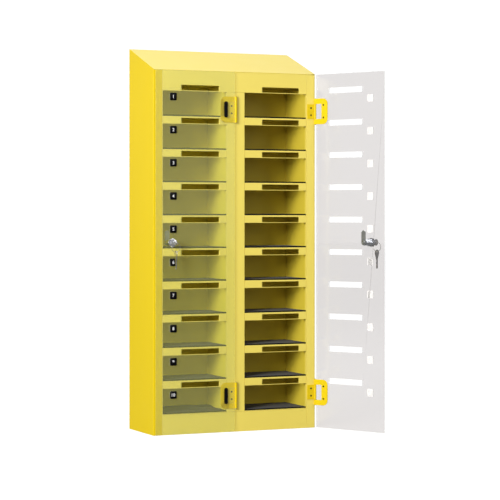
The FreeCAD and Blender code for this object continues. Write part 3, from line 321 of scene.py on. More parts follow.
def clear_sheet(name, tint, haze_and_painted_light, veil):
    """Cast acrylic sheet, 4.5 mm, laser cut.

    The eye sees what is behind it a little dimmed, under a thin pale bloom of scattered light and a
    reflection that grows toward grazing angles.
    """
    material, tree, place = new_material(name)
    through = add(tree, "ShaderNodeBsdfTransparent",
                  {"Color": varied(tree, [math.sqrt(part) for part in tint], place, 220 * MM, 0.006)})
    # The veil is matt in the colour given; on the left door that colour is painted light, the coat's yellow.
    bloom = add(tree, "ShaderNodeBsdfDiffuse", {"Color": rgba(haze_and_painted_light)})
    body = add(tree, "ShaderNodeMixShader", {0: veil, 1: through.outputs["BSDF"], 2: bloom.outputs["BSDF"]})
    mirror = add(tree, "ShaderNodeBsdfGlossy", {
        "Color": rgba((1, 1, 1)),
        "Roughness": spread(tree, noise(tree, place, 45 * MM, 4.0), 0.02, 0.07),
        "Normal": relief(tree, noise(tree, place, 160 * MM, 1.0), 0.04, 1 * MM),
    })
    # Schlick's rise from 4 % straight on; it is the same from both sides, as a thin pane's is.
    facing = add(tree, "ShaderNodeLayerWeight", {"Blend": 0.5}).outputs["Facing"]
    share = spread(tree, calculate(tree, "POWER", facing, 5.0), 0.04, 1.0)
    mixed = add(tree, "ShaderNodeMixShader", {0: share, 1: body.outputs["Shader"], 2: mirror.outputs["BSDF"]})
    add(tree, "ShaderNodeOutputMaterial", {"Surface": mixed.outputs["Shader"]})
    return material


def polished_edge(name, colour_value, share, painted_glow):
    """Flame-polished edge of an acrylic sheet.

    The eye sees a pale, bright rim: a painted glow, an emission in the edge's colour, stands in for light
    that travels inside the sheet and leaves at its edges.
    """
    material, tree, place = new_material(name)
    ripples = noise(tree, place, 5 * MM, 2.0)
    return skin(material, tree, {
        "Base Color": varied(tree, colour_value, place, 12 * MM, 0.03),
        "Roughness": spread(tree, ripples, 0.12, 0.22),
        "Alpha": share,
        # Painted glow: the edge gives off light in its own colour.
        "Emission Color": rgba(colour_value),
        "Emission Strength": painted_glow,
        "Normal": relief(tree, ripples, 0.1, 0.05 * MM),
    })


def closed_cell_foam(name, colour_value):
    """EVA foam sheet, sliced and die cut.

    The eye sees a near-black matt skin that goes pale grey where light grazes it, with fine open cells.
    """
    material, tree, place = new_material(name)
    # Cells are about 0.3 mm; they are drawn at 1.2 mm so that they show at this size.
    return skin(material, tree, {
        "Base Color": varied(tree, colour_value, place, 25 * MM, 0.25),
        "Roughness": spread(tree, noise(tree, place, 35 * MM, 5.0), 0.6, 0.75),
        "Specular IOR Level": 0.12,
        "Sheen Weight": 0.1,
        "Sheen Roughness": 0.4,
        "Normal": relief(tree, cells(tree, place, 1.2 * MM), 0.35, 0.2 * MM),
    })


def moulded_plastic(name, colour_value, roughness=0.45, grain=0.8 * MM):
    """Injection-moulded ABS or nylon with a spark-eroded grain.

    The eye sees an even dark surface whose soft highlight breaks up in a fine grain.
    """
    material, tree, place = new_material(name)
    return skin(material, tree, {
        "Base Color": varied(tree, colour_value, place, 20 * MM, 0.12),
        "Roughness": spread(tree, noise(tree, place, 12 * MM, 3.0), roughness - 0.06, roughness + 0.08),
        "Specular IOR Level": 0.1,
        "Normal": relief(tree, cells(tree, place, grain), 0.15, 0.05 * MM),
    })


def printed_face(name, colour_value, roughness=0.28, painted_glow=0.0):
    """Screen-printed polyester label film under a thin clear varnish.

    The eye sees a flat, even colour with a slight gloss and a trace of the print's edge.
    White adhesive behind the clear sheet is given a painted glow, which stands in for light caught in the
    sheet.
    """
    material, tree, place = new_material(name)
    film = noise(tree, place, 3 * MM, 2.0)
    return skin(material, tree, {
        "Base Color": varied(tree, colour_value, place, 8 * MM, 0.03),
        "Roughness": spread(tree, film, roughness - 0.04, roughness + 0.06),
        "Specular IOR Level": 0.1,
        "Emission Color": rgba(colour_value),
        "Emission Strength": painted_glow,
        "Normal": relief(tree, film, 0.05, 0.02 * MM),
    })


def plated_metal(name, colour_value, roughness, streak=(1.0, 1.0, 1.0), scratch=0.25 * MM):
    """Plated or bare metal: chrome, nickel, zinc, blackened steel, brass or mill aluminium.

    The eye sees the room's reflection, sharp or soft with the polish, broken by hairlines along the streak.
    """
    material, tree, place = new_material(name)
    turned = add(tree, "ShaderNodeMapping", {"Vector": place, "Scale": streak})
    hair = noise(tree, turned.outputs["Vector"], scratch, 2.0)
    return skin(material, tree, {
        "Base Color": varied(tree, colour_value, place, 5 * MM, 0.06),
        "Metallic": 1.0,
        "Roughness": spread(tree, noise(tree, place, 6 * MM, 3.0), roughness * 0.8, roughness * 1.3),
        "Normal": relief(tree, hair, 0.06, 0.02 * MM),
    })


def solder_mask(name, colour_value):
    """Glass-epoxy circuit board under green solder mask.

    The eye sees a glossy green with slightly lighter copper tracks running under it.
    """
    material, tree, place = new_material(name)
    tracks = add(tree, "ShaderNodeTexBrick", {
        "Vector": place, "Scale": 1 / (14 * MM), "Mortar Size": 0.05, "Color1": rgba(colour_value),
        "Color2": rgba([part * 0.85 for part in colour_value]),
        "Mortar": rgba([part * 1.9 for part in colour_value])})
    return skin(material, tree, {
        "Base Color": tracks.outputs["Color"],
        "Roughness": 0.3,
        "Normal": relief(tree, tracks.outputs["Fac"], 0.2, 0.05 * MM),
    })


def studio_floor(name, colour_value, glow=1.08, dim=0.25):
    """Matt white studio floor, lit from below.

    The eye sees an even white surface with only a trace of shadow where the cabinet stands on it.
    """
    material, tree, place = new_material(name)
    seen = add(tree, "ShaderNodeLightPath").outputs["Is Camera Ray"]
    return skin(material, tree, {
        "Base Color": varied(tree, [part * dim for part in colour_value], place, 0.8, 0.01),
        "Roughness": 0.8,
        "Specular IOR Level": 0.1,
        "Emission Color": rgba(colour_value),
        "Emission Strength": spread(tree, seen, 0.0, glow),
    })


FINISHES = {
    "coat": lambda c: powder_coat("yellow_powder_coat", c.coat, gloss=0.17),
    # The right side panel and the plinth front take the painted highlight on their front faces and the plain
    # coat behind them; the roof takes it all over.
    "fronted_coat_painted_highlight": lambda c: powder_coat("yellow_powder_coat_return_painted_highlight", c.front_coat, (c.coat, c.coat)),
    "roof_coat_painted_highlight": lambda c: powder_coat("yellow_powder_coat_roof_painted_highlight", c.front_coat),
    # Inner unit and shelves: painted highlight on the front faces, painted light in the left bays, painted
    # shade in the right bays.
    "front_coat": lambda c: powder_coat("yellow_powder_coat_front_painted_light", c.front_coat,
                                        (c.left_bays, c.right_bays)),
    "closed_sheet": lambda c: clear_sheet("cast_acrylic_left", c.closed_sheet, c.closed_bloom, 0.075),
    "open_sheet": lambda c: clear_sheet("cast_acrylic_right", c.open_sheet, c.open_sheet, 0.03),
    "left_edge": lambda c: polished_edge("polished_acrylic_edge_left_painted_glow", c.left_edge, 0.25, 0.1),
    "right_edge": lambda c: polished_edge("polished_acrylic_edge_right_painted_glow", c.right_edge, 0.4, 0.3),
    "foam": lambda c: closed_cell_foam("eva_foam_black", c.foam),
    "plastic": lambda c: moulded_plastic("moulded_nylon_black", c.plastic),
    "lead": lambda c: moulded_plastic("pvc_jacket_black", c.plastic, 0.38, 1.6 * MM),
    "label": lambda c: printed_face("label_film_black", c.label),
    "ink": lambda c: printed_face("label_ink_white", c.ink, 0.4),
    "backing": lambda c: printed_face("label_adhesive_white_painted_glow", c.backing, 0.6, 0.45),
    "chrome": lambda c: plated_metal("polished_chrome", c.chrome, 0.2),
    "nickel": lambda c: plated_metal("nickel_plate", c.nickel, 0.22, (1.0, 0.15, 1.0)),
    "zinc": lambda c: plated_metal("bright_zinc_plate", c.zinc, 0.32),
    "dark_screw": lambda c: plated_metal("blackened_steel", c.dark_screw, 0.4),
    "board": lambda c: solder_mask("solder_mask_green", c.board),
    "case": lambda c: plated_metal("mill_aluminium", c.case, 0.38, (0.05, 1.0, 1.0), 0.6 * MM),
    "brass": lambda c: plated_metal("brass_contact", c.brass, 0.25),
    "floor": lambda c: studio_floor("matt_floor_paint", c.floor),
}
MADE = {}


def finish(key):
    """The finish of that name, made the first time it is asked for."""
    if key not in MADE:
        MADE[key] = FINISHES[key](bpy.context.scene.locker_colours)
    return MADE[key]


# ---------------------------------------------------------------- meshes and pieces

def as_piece(name, mesh, key):
    """A new object at the origin that shows one finish."""
    mesh.materials.clear()
    mesh.materials.append(finish(key))
    made = bpy.data.objects.new(name, mesh)
    bpy.context.scene.collection.objects.link(made)
    return made


def settle(made, body, slot, *replaced):
    """Hang a finished piece on its body and hide the parts that it stands in for."""
    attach(made, body)
    if replaced:
        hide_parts(*replaced)
    return made


def from_bmesh(name, bm, smooth=30.0):
    mesh = bpy.data.meshes.new(name)
    bmesh.ops.recalc_face_normals(bm, faces=bm.faces)
    bm.to_mesh(mesh)
    bm.free()
    mesh.shade_smooth()
    mesh.set_sharp_from_angle(angle=math.radians(smooth))
    return mesh


def evaluated(name, mesh, arrange):
    """The plain mesh that a temporary object gives once arrange has put modifiers on it."""
    holder = bpy.data.objects.new(name, mesh)
    bpy.context.scene.collection.objects.link(holder)
    arrange(holder)
    bpy.context.view_layer.update()
    result = bpy.data.meshes.new_from_object(holder.evaluated_get(bpy.context.evaluated_depsgraph_get()))
    bpy.data.objects.remove(holder)
    result.name = name
    return result


def rounded(name, mesh, width, segments=2):
    """Round a mesh's sharp edges by a real width."""
    def arrange(holder):
        bevel = holder.modifiers.new("round", "BEVEL")
        bevel.width = width
        bevel.segments = segments
        bevel.limit_method = "ANGLE"
        bevel.angle_limit = math.radians(40)
        bevel.use_clamp_overlap = False
        weigh_normals(holder)
    mesh.shade_smooth()
    return evaluated(name, mesh, arrange)


def weigh_normals(holder):
    """Let broad faces set the shading at their edges, so that they look flat."""
    weigh = holder.modifiers.new("weigh", "WEIGHTED_NORMAL")
    weigh.keep_sharp = True


def creased(name, mesh, angle=35.0):
    """Shade a mesh smooth up to a crease angle, with its broad faces flat."""
    mesh.shade_smooth()
    mesh.set_sharp_from_angle(angle=math.radians(angle))
    return evaluated(name, mesh, weigh_normals)


def copied(node):
    """A node's mesh with its loose triangles joined and its flat faces made whole."""
    bm = bmesh.new()
    bm.from_mesh(frame["nodes"][node].data)
    bmesh.ops.remove_doubles(bm, verts=bm.verts, dist=WELD)
    bmesh.ops.dissolve_limit(bm, angle_limit=math.radians(0.5), verts=bm.verts, edges=bm.edges)
    mesh = bpy.data.meshes.new(node)
    bm.to_mesh(mesh)
    bm.free()
    return mesh


def refinish(node, key, slot, edge=0.0):
    """Stand a copy of a node in for it, with its edges rounded as the real piece's are."""
    mesh = copied(node)
    name = node + "_finished"
    made = as_piece(name, rounded(name, mesh, edge) if edge else creased(name, mesh), key)
    return settle(made, frame["nodes"][node]["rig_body"], slot, node)


def islands(node, space=Matrix.Identity(4)):
    """Lowest and highest corner of each separate solid of a node, in the given space."""
    back = space.inverted()
    bm = bmesh.new()
    bm.from_mesh(frame["nodes"][node].data)
    bmesh.ops.remove_doubles(bm, verts=bm.verts, dist=WELD)
    seen = set()
    boxes = []
    for start in bm.verts:
        if start in seen:
            continue
        seen.add(start)
        group = [start]
        for vert in group:
            near = {edge.other_vert(vert) for edge in vert.link_edges} - seen
            seen |= near
            group.extend(sorted(near, key=lambda other: other.index))
        points = [back @ vert.co for vert in group]
        low = Vector([min(point[axis] for point in points) for axis in range(3)])
        high = Vector([max(point[axis] for point in points) for axis in range(3)])
        boxes.append((low, high))
    bm.free()
    return boxes


def door_space(side):
    """Places drawn about a door's hinge axis with the door closed, taken to where the door stands."""
    hinge = JOINTS[side + "_door_hinge"]["pos_m"]
    outward = JOINTS[side + "_lock_turn"]["axis"]
    turn = math.atan2(outward[0], -outward[1])
    return Matrix.Translation((hinge[0], hinge[1], 0)) @ Matrix.Rotation(turn, 4, "Z")


def lathe(name, profile, segments, closed=True):
    """Turn (radius, height) points about Z; a closed profile makes a ring, an open one a plug."""
    bm = bmesh.new()
    rings = []
    for radius, height in profile:
        if radius < 1e-7:
            rings.append([bm.verts.new((0, 0, height))])
            continue
        rings.append([bm.verts.new((radius * math.cos(WHOLE_TURN * step / segments),
                                    radius * math.sin(WHOLE_TURN * step / segments), height))
                      for step in range(segments)])
    pairs = list(zip(rings, rings[1:]))
    if closed:
        pairs.append((rings[-1], rings[0]))
    for lower, upper in pairs:
        for step in range(segments):
            after = (step + 1) % segments
            corners = [lower[step % len(lower)], lower[after % len(lower)],
                       upper[after % len(upper)], upper[step % len(upper)]]
            unique = list(dict.fromkeys(corners))
            if len(unique) > 2:
                bm.faces.new(unique)
    return from_bmesh(name, bm)


def prism(name, outline, low, high):
    """Raise an outline of (x, y) points from one height to another."""
    bm = bmesh.new()
    floor = [bm.verts.new((x, y, low)) for x, y in outline]
    bm.faces.new(floor)
    raised = bmesh.ops.extrude_face_region(bm, geom=bm.faces[:])
    tops = [item for item in raised["geom"] if isinstance(item, bmesh.types.BMVert)]
    bmesh.ops.translate(bm, verts=tops, vec=(0, 0, high - low))
    return from_bmesh(name, bm)


def block(low, high):
    """A plain block between two corners, as a tool for cutting or a start for rounding."""
    x0, y0, z0 = low
    x1, y1, z1 = high
    return prism("block", [(x0, y0), (x1, y0), (x1, y1), (x0, y1)], z0, z1)


def carved(name, mesh, cutters):
    """Take the cutters away from a mesh."""
    tools = []

    def arrange(holder):
        for cutter in cutters:
            tool = bpy.data.objects.new("tool", cutter)
            bpy.context.scene.collection.objects.link(tool)
            tools.append(tool)
            difference = holder.modifiers.new("cut", "BOOLEAN")
            difference.operation = "DIFFERENCE"
            difference.solver = "EXACT"
            difference.object = tool
    result = evaluated(name, mesh, arrange)
    for tool in tools:
        bpy.data.objects.remove(tool)
    if not result.polygons:
        raise RuntimeError("cutting left nothing of " + name)
    return creased(name, result)


def joined(name, meshes):
    bm = bmesh.new()
    for mesh in meshes:
        bm.from_mesh(mesh)
    result = bpy.data.meshes.new(name)
    bm.to_mesh(result)
    bm.free()
    result.shade_smooth()
    result.set_sharp_from_angle(angle=math.radians(30))
    return result


# ---------------------------------------------------------------- geometry node trees

def new_tree(name, sockets):
    """A geometry node tree with the given named inputs and one geometry output."""
    tree = bpy.data.node_groups.new(name, "GeometryNodeTree")
    for label, kind in sockets:
        tree.interface.new_socket(label, in_out="INPUT", socket_type=kind)
    tree.interface.new_socket("Geometry", in_out="OUTPUT", socket_type="NodeSocketGeometry")
    return tree, tree.nodes.new("NodeGroupInput").outputs


def close_tree(tree, geometry, material):
    """End a tree in realized, finished geometry."""
    real = add(tree, "GeometryNodeRealizeInstances", {"Geometry": geometry})
    coated = add(tree, "GeometryNodeSetMaterial", {
        "Geometry": real.outputs["Geometry"], "Material": material})
    add(tree, "NodeGroupOutput", {"Geometry": coated.outputs["Geometry"]})
    return tree


def upward(tree, height):
    """A vector along Z."""
    return add(tree, "ShaderNodeCombineXYZ", {"Z": height}).outputs["Vector"]


def set_out_tree():
    """Copies of one piece at points, each facing one way and turned by chance about its own axis."""
    tree, given = new_tree("set_out_copies", [
        ("Geometry", "NodeSocketGeometry"), ("Piece", "NodeSocketObject"), ("Facing", "NodeSocketVector"),
        ("Chance Turn", "NodeSocketFloat"), ("Seed", "NodeSocketInt"), ("Material", "NodeSocketMaterial")])
    piece = add(tree, "GeometryNodeObjectInfo", {"Object": given["Piece"], "As Instance": True})
    chance = add(tree, "FunctionNodeRandomValue", {"Seed": given["Seed"]}, data_type="FLOAT")
    most = next(socket for socket in chance.inputs if socket.name == "Max" and socket.type == "VALUE")
    tree.links.new(given["Chance Turn"], most)
    angle = next(socket for socket in chance.outputs if socket.type == "VALUE")
    facing, spin = (add(tree, "FunctionNodeEulerToRotation", {"Euler": euler}).outputs["Rotation"]
                    for euler in (given["Facing"], upward(tree, angle)))
    turned = add(tree, "FunctionNodeRotateRotation", {"Rotation": facing, "Rotate By": spin},
                 rotation_space="LOCAL")
    copies = add(tree, "GeometryNodeInstanceOnPoints", {
        "Points": given["Geometry"], "Instance": piece.outputs["Geometry"],
        "Rotation": turned.outputs["Rotation"]})
    return close_tree(tree, copies.outputs["Instances"], given["Material"])


def split_ring_tree():
    """Turns of round wire lying side by side."""
    tree, given = new_tree("split_ring", [
        ("Geometry", "NodeSocketGeometry"), ("Radius", "NodeSocketFloat"), ("Wire", "NodeSocketFloat"),
        ("Turns", "NodeSocketFloat"), ("Material", "NodeSocketMaterial")])
    stacked = calculate(tree, "MULTIPLY", given["Wire"], given["Turns"])
    less = calculate(tree, "SUBTRACT", stacked, given["Wire"])
    coil = add(tree, "GeometryNodeCurveSpiral", {
        "Resolution": 64, "Rotations": given["Turns"], "Start Radius": given["Radius"],
        "End Radius": given["Radius"], "Height": less})
    moved = add(tree, "GeometryNodeTransform", {
        "Geometry": coil.outputs["Curve"],
        "Translation": upward(tree, calculate(tree, "MULTIPLY", less, -0.5))})
    half = calculate(tree, "MULTIPLY", given["Wire"], 0.5)
    section = add(tree, "GeometryNodeCurvePrimitiveCircle", {"Resolution": 12, "Radius": half})
    swept = add(tree, "GeometryNodeCurveToMesh", {
        "Curve": moved.outputs["Geometry"], "Profile Curve": section.outputs["Curve"], "Fill Caps": True})
    return close_tree(tree, swept.outputs["Mesh"], given["Material"])


def foam_mat_tree():
    """Flat mats at points, lifted in gentle ripples that grow from the front edge to the back."""
    tree, given = new_tree("foam_mats", [
        ("Geometry", "NodeSocketGeometry"), ("Size", "NodeSocketVector"), ("Front", "NodeSocketFloat"),
        ("Back", "NodeSocketFloat"), ("Ripple", "NodeSocketFloat"), ("Ripple Size", "NodeSocketFloat"),
        ("Seed", "NodeSocketFloat"), ("Material", "NodeSocketMaterial")])
    sheet = add(tree, "GeometryNodeMeshCube", {"Size": given["Size"], "Vertices X": 40, "Vertices Y": 28,
                                               "Vertices Z": 3})
    copies = add(tree, "GeometryNodeInstanceOnPoints", {"Points": given["Geometry"],
                                                        "Instance": sheet.outputs["Mesh"]})
    real = add(tree, "GeometryNodeRealizeInstances", {"Geometry": copies.outputs["Instances"]})
    place = add(tree, "GeometryNodeInputPosition").outputs["Position"]
    flat = add(tree, "ShaderNodeVectorMath", {0: place, 1: (1.0, 1.0, 8.0)}, operation="MULTIPLY")
    ripples = add(tree, "ShaderNodeTexNoise", {
        "Vector": flat.outputs["Vector"], "W": given["Seed"], "Detail": 0.0,
        "Scale": calculate(tree, "DIVIDE", 1.0, given["Ripple Size"])}, noise_dimensions="4D")
    depth = add(tree, "ShaderNodeSeparateXYZ", {"Vector": place}).outputs["Y"]
    back = add(tree, "ShaderNodeMapRange", {
        "Value": depth, "From Min": given["Front"], "From Max": given["Back"],
    }, interpolation_type="SMOOTHSTEP")
    peaks = add(tree, "ShaderNodeMapRange", {
        "Value": ripples.outputs["Fac"], "From Min": 0.35, "From Max": 0.7})
    lift = calculate(tree, "MULTIPLY", peaks.outputs["Result"], back.outputs["Result"])
    height = calculate(tree, "MULTIPLY", lift, given["Ripple"])
    moved = add(tree, "GeometryNodeSetPosition", {"Geometry": real.outputs["Geometry"],
                                                  "Offset": upward(tree, height)})
    return close_tree(tree, moved.outputs["Geometry"], given["Material"])


def grown(name, tree, start, inputs):
    """Run a geometry node tree on a start mesh and return the plain mesh that it makes."""
    def arrange(holder):
        modifier = holder.modifiers.new("grow", "NODES")
        modifier.node_group = tree
        for item in tree.interface.items_tree:
            if item.in_out == "INPUT" and item.name in inputs:
                modifier[item.identifier] = inputs[item.name]
    result = evaluated(name, start, arrange)
    result.shade_smooth()
    result.set_sharp_from_angle(angle=math.radians(30))
    return result


def points_mesh(places):
    mesh = bpy.data.meshes.new("points")
    mesh.from_pydata([tuple(place) for place in places], [], [])
    return mesh


def set_out(name, mesh, places, key, facing=(0, 0, 0), chance=0.0):
    """The plain mesh of one piece copied to places."""
    original = bpy.data.objects.new("original", mesh)
    bpy.context.scene.collection.objects.link(original)
    result = grown(name, TREES["set_out"], points_mesh(places), {
        "Piece": original, "Facing": facing, "Chance Turn": chance,
        "Seed": bpy.context.scene.locker_sizes.seed, "Material": finish(key)})
    bpy.data.objects.remove(original)
    return result


TREES = {}

# ---------------------------------------------------------------- sheet metal

OUTER_SHEETS = ("left_side_panel", "back_panel", "base_plate")
FRONTED_SHEETS = ("right_side_panel", "plinth_front")
INNER_SHEETS = ("head_fascia", "left_liner", "right_liner", "centre_post", "rear_liner", "ceiling_sheet")
SHELVES = tuple(sorted(name for name in frame["nodes"] if name.startswith("shelves_row_")))


class LOCKER_OT_sheet_metal(bpy.types.Operator):
    """Coat the cabinet, the inner unit and the shelves, with the coat rounding every cut edge"""

    bl_idname = "locker.sheet_metal"
    bl_label = "Sheet metal"

    def execute(self, context):
        edge = context.scene.locker_sizes.sheet_edge
        for node in OUTER_SHEETS:
            refinish(node, "coat", "yellow_steel", edge)
        for node in FRONTED_SHEETS:
            refinish(node, "fronted_coat_painted_highlight", "yellow_steel", edge)
        refinish("roof", "roof_coat_painted_highlight", "yellow_steel", edge)
        for node in INNER_SHEETS + SHELVES:
            refinish(node, "front_coat", "yellow_steel", edge)
        return {"FINISHED"}


# ---------------------------------------------------------------- doors

class LOCKER_OT_doors(bpy.types.Operator):
    """Make the clear door sheets with polished edges"""

    bl_idname = "locker.doors"
    bl_label = "Clear doors"

    def execute(self, context):
        edge = context.scene.locker_sizes.door_edge
        for side, key, rim in (("left", "closed_sheet", "left_edge"), ("right", "open_sheet", "right_edge")):
            made = refinish(side + "_door", key, "clear_acrylic", edge)
            made.data.materials.append(finish(rim))
            across = door_space(side).to_3x3() @ Vector((0, 1, 0))
            for polygon in made.data.polygons:
                levels = [made.data.vertices[index].co.dot(across) for index in polygon.vertices]
                polygon.material_index = int(max(levels) - min(levels) > 0.2 * edge)
        return {"FINISHED"}


def rounded_rectangle(width, height, corner, steps=6):
    """Points round a rectangle centred on the origin, with arcs at its corners."""
    points = []
    for quarter, (x, y) in enumerate(((1, 1), (-1, 1), (-1, -1), (1, -1))):
        centre = (x * (width / 2 - corner), y * (height / 2 - corner))
        for step in range(steps + 1):
            angle = math.radians(90 * (quarter + step / steps))
            points.append((centre[0] + corner * math.cos(angle), centre[1] + corner * math.sin(angle)))
    return points


def number_mesh(number, height):
    """A flat raised number, centred on the origin and facing +Z."""
    words = bpy.data.curves.new("number", "FONT")
    words.body = str(number)
    words.align_x = "CENTER"
    words.offset = 0.01
    words.extrude = 0.004
    holder = bpy.data.objects.new("number", words)
    bpy.context.scene.collection.objects.link(holder)
    bpy.context.view_layer.update()
    mesh = bpy.data.meshes.new_from_object(holder.evaluated_get(bpy.context.evaluated_depsgraph_get()))
    bpy.data.objects.remove(holder)
    xs = [vertex.co.x for vertex in mesh.vertices]
    ys = [vertex.co.y for vertex in mesh.vertices]
    scale = height / (max(ys) - min(ys))
    centre = Vector(((max(xs) + min(xs)) / 2, (max(ys) + min(ys)) / 2, 0))
    mesh.transform(Matrix.Scale(scale, 4) @ Matrix.Translation(-centre))
    return mesh


class LOCKER_OT_labels(bpy.types.Operator):
    """Make the numbered labels: a printed face, a white adhesive back and the number"""

    bl_idname = "locker.labels"
    bl_label = "Bay labels"

    def execute(self, context):
        sizes = context.scene.locker_sizes
        # Drawn lying down, facing +Z, then stood up to face -Y.
        stand = Matrix.Rotation(math.radians(90), 4, "X")
        for side, first in zip(SIDES, (1, 11)):
            space = door_space(side)
            plates = sorted(islands(side + "_labels", space), key=lambda box: -box[0].z)
            low, high = plates[0]
            width, thick, height = high - low
            outline = rounded_rectangle(width, height, 3 * MM)
            face = rounded("face", prism("face", outline, thick * BACK_SHARE, thick), 0.15 * MM)
            back = prism("back", outline, 0.0, thick * BACK_SHARE)
            places = [Vector(((a.x + b.x) / 2, b.y, (a.z + b.z) / 2)) for a, b in plates]
            body = side + "_door_group"
            for name, mesh, key, replaced in ((side + "_label_faces", face, "label", (side + "_labels",)),
                                              (side + "_label_backs", back, "backing", ())):
                plates = set_out(name, mesh, places, key, FORWARDS)
                plates.transform(space)
                settle(as_piece(name, plates, key), body, "label_plate", *replaced)
            numbers = []
            for step, place in enumerate(places):
                mesh = number_mesh(first + step, sizes.number)
                mesh.transform(Matrix.Translation(place + Vector((0, -thick, 0))) @ stand)
                numbers.append(mesh)
            ink = joined(side + "_label_numbers", numbers)
            ink.transform(space)
            settle(as_piece(side + "_label_numbers", ink, "ink"), body, "label_plate")
        return {"FINISHED"}


# ---------------------------------------------------------------- hinges and screws

class LOCKER_OT_hinges(bpy.types.Operator):
    """Coat the hinge leaves and finish the pins and the black clamp strips"""

    bl_idname = "locker.hinges"
    bl_label = "Hinges"

    def execute(self, context):
        edge = context.scene.locker_sizes.small_edge
        for node in ("cabinet_leaves", "left_door_leaves", "right_door_leaves"):
            refinish(node, "coat", "yellow_steel", edge)
        refinish("hinge_pins", "zinc", "zinc_screw", edge)
        for side in SIDES:
            refinish(side + "_clamp_strips", "plastic", "black_plastic", edge * 1.5)
        return {"FINISHED"}


def screw_mesh(head_radius, head_depth, shank_radius, long, recess, dome):
    """A cross-recess screw along -Z, its head's face at the origin; a dome above 0 makes a pan head."""
    profile = [(0, dome), (head_radius * 0.6, dome * 0.85), (head_radius * 0.94, dome * 0.3),
               (head_radius, 0)]
    if dome:
        profile += [(head_radius, -0.05 * MM), (shank_radius, -0.05 * MM)]
    else:
        profile += [(head_radius, -0.12 * MM), (shank_radius, -head_depth)]
    profile += [(shank_radius, -long + shank_radius * 0.4), (shank_radius * 0.7, -long), (0, -long)]
    turned = lathe("screw", profile, 32, closed=False)
    arm = recess * head_radius / MM / 2
    slim = arm * 0.24
    deep = head_depth * 0.75
    top = dome + 1 * MM
    cross = [block((-x, -y, dome - deep), (x, y, top)) for x, y in ((arm, slim), (slim, arm))]
    return carved("screw", turned, cross)


def screws_from(node, key, body, space, facing, face_high, pan=False):
    """Stand detailed screws in for a node's plain ones; face_high says which way along Y their heads look."""
    sizes = bpy.context.scene.locker_sizes
    boxes = islands(node, space)
    low, high = boxes[0]
    radius = (high.x - low.x) / 2
    long = high.y - low.y
    dome = 2.0 * MM if pan else 0.0
    mesh = screw_mesh(radius, 1.2 * MM, radius * 0.55, long - dome, sizes.recess, dome)
    places = [Vector(((a.x + b.x) / 2, b.y - dome if face_high else a.y + dome, (a.z + b.z) / 2))
              for a, b in boxes]
    result = set_out(node + "_detailed", mesh, places, key, facing, WHOLE_TURN / 4)
    result.transform(space)
    settle(as_piece(node + "_detailed", result, key), body, "zinc_screw", node)


class LOCKER_OT_screws(bpy.types.Operator):
    """Make cross-recess screws for the hinges and the back panel"""

    bl_idname = "locker.screws"
    bl_label = "Screws"

    def execute(self, context):
        screws_from("cabinet_leaf_screws", "dark_screw", "cabinet", Matrix.Identity(4), FORWARDS, False)
        screws_from("back_panel_screws", "zinc", "cabinet", Matrix.Identity(4), BACKWARDS, True, pan=True)
        for side in SIDES:
            screws_from(side + "_door_screws", "dark_screw", side + "_door_group", door_space(side),
                        BACKWARDS, True)
        return {"FINISHED"}


# ---------------------------------------------------------------- locks

def housing_mesh(head_radius, head_height, barrel_radius, bore, barrel_length, pitch, depth):
    """A turned lock housing along +Z, its head's face at the origin, with a threaded barrel."""
    rim = 0.8 * MM
    profile = [(bore, 0.4 * MM), (bore + 0.5 * MM, 0), (head_radius - 2.4 * MM, 0),
               (head_radius - 2.2 * MM, 0.25 * MM), (head_radius - 1.9 * MM, 0.25 * MM),
               (head_radius - 1.7 * MM, 0), (head_radius - rim, 0.1 * MM),
               (head_radius - rim * 0.3, rim * 0.4), (head_radius, rim), (head_radius, head_height),
               (barrel_radius, head_height)]
    start = head_height + 6 * MM
    turns = int((barrel_length - 8 * MM) / pitch)
    for turn in range(turns):
        height = start + turn * pitch
        profile += [(barrel_radius, height), (barrel_radius - depth, height + pitch * 0.45)]
    profile += [(barrel_radius - depth, head_height + barrel_length), (bore, head_height + barrel_length)]
    return lathe("housing", profile, 56)


class LOCKER_OT_locks(bpy.types.Operator):
    """Make the cam locks: threaded chrome housings, nuts, plugs, cams and their screws"""

    bl_idname = "locker.locks"
    bl_label = "Cam locks"

    def execute(self, context):
        sizes = context.scene.locker_sizes
        for side in SIDES:
            space = door_space(side)
            door = side + "_door_group"
            low, high = islands(side + "_lock_housing", space)[0]
            plug_low, plug_high = islands(side + "_lock_plug", space)[0]
            head_radius = (high.x - low.x) / 2
            bore = (plug_high.x - plug_low.x) / 2 + 0.05 * MM
            mesh = housing_mesh(head_radius, HEAD_HEIGHT, BARREL_RADIUS, bore, high.y - low.y - HEAD_HEIGHT,
                                sizes.thread_pitch, sizes.thread_depth)
            axis = Vector(((low.x + high.x) / 2, low.y, (low.z + high.z) / 2))
            mesh.transform(space @ Matrix.Translation(axis) @ Matrix.Rotation(math.radians(-90), 4, "X"))
            name = side + "_lock_housing"
            settle(as_piece(name + "_threaded", mesh, "chrome"), door, "lock_chrome", name)
            refinish(side + "_lock_nut", "chrome", "lock_chrome", sizes.small_edge * 1.5)
            refinish(side + "_lock_plug", "chrome", "lock_chrome", sizes.small_edge * 0.5)
            refinish(side + "_cam", "zinc", "zinc_screw", sizes.small_edge)
            screws_from(side + "_cam_screw", "zinc", side + "_lock_group", space, BACKWARDS, True, pan=True)
        return {"FINISHED"}


# ---------------------------------------------------------------- keys

def oval(across, along, steps, middle=0.0):
    """Points round an oval whose centre lies on the Y axis."""
    angles = [WHOLE_TURN * step / steps for step in range(steps)]
    return [(across * math.cos(angle), middle + along * math.sin(angle)) for angle in angles]


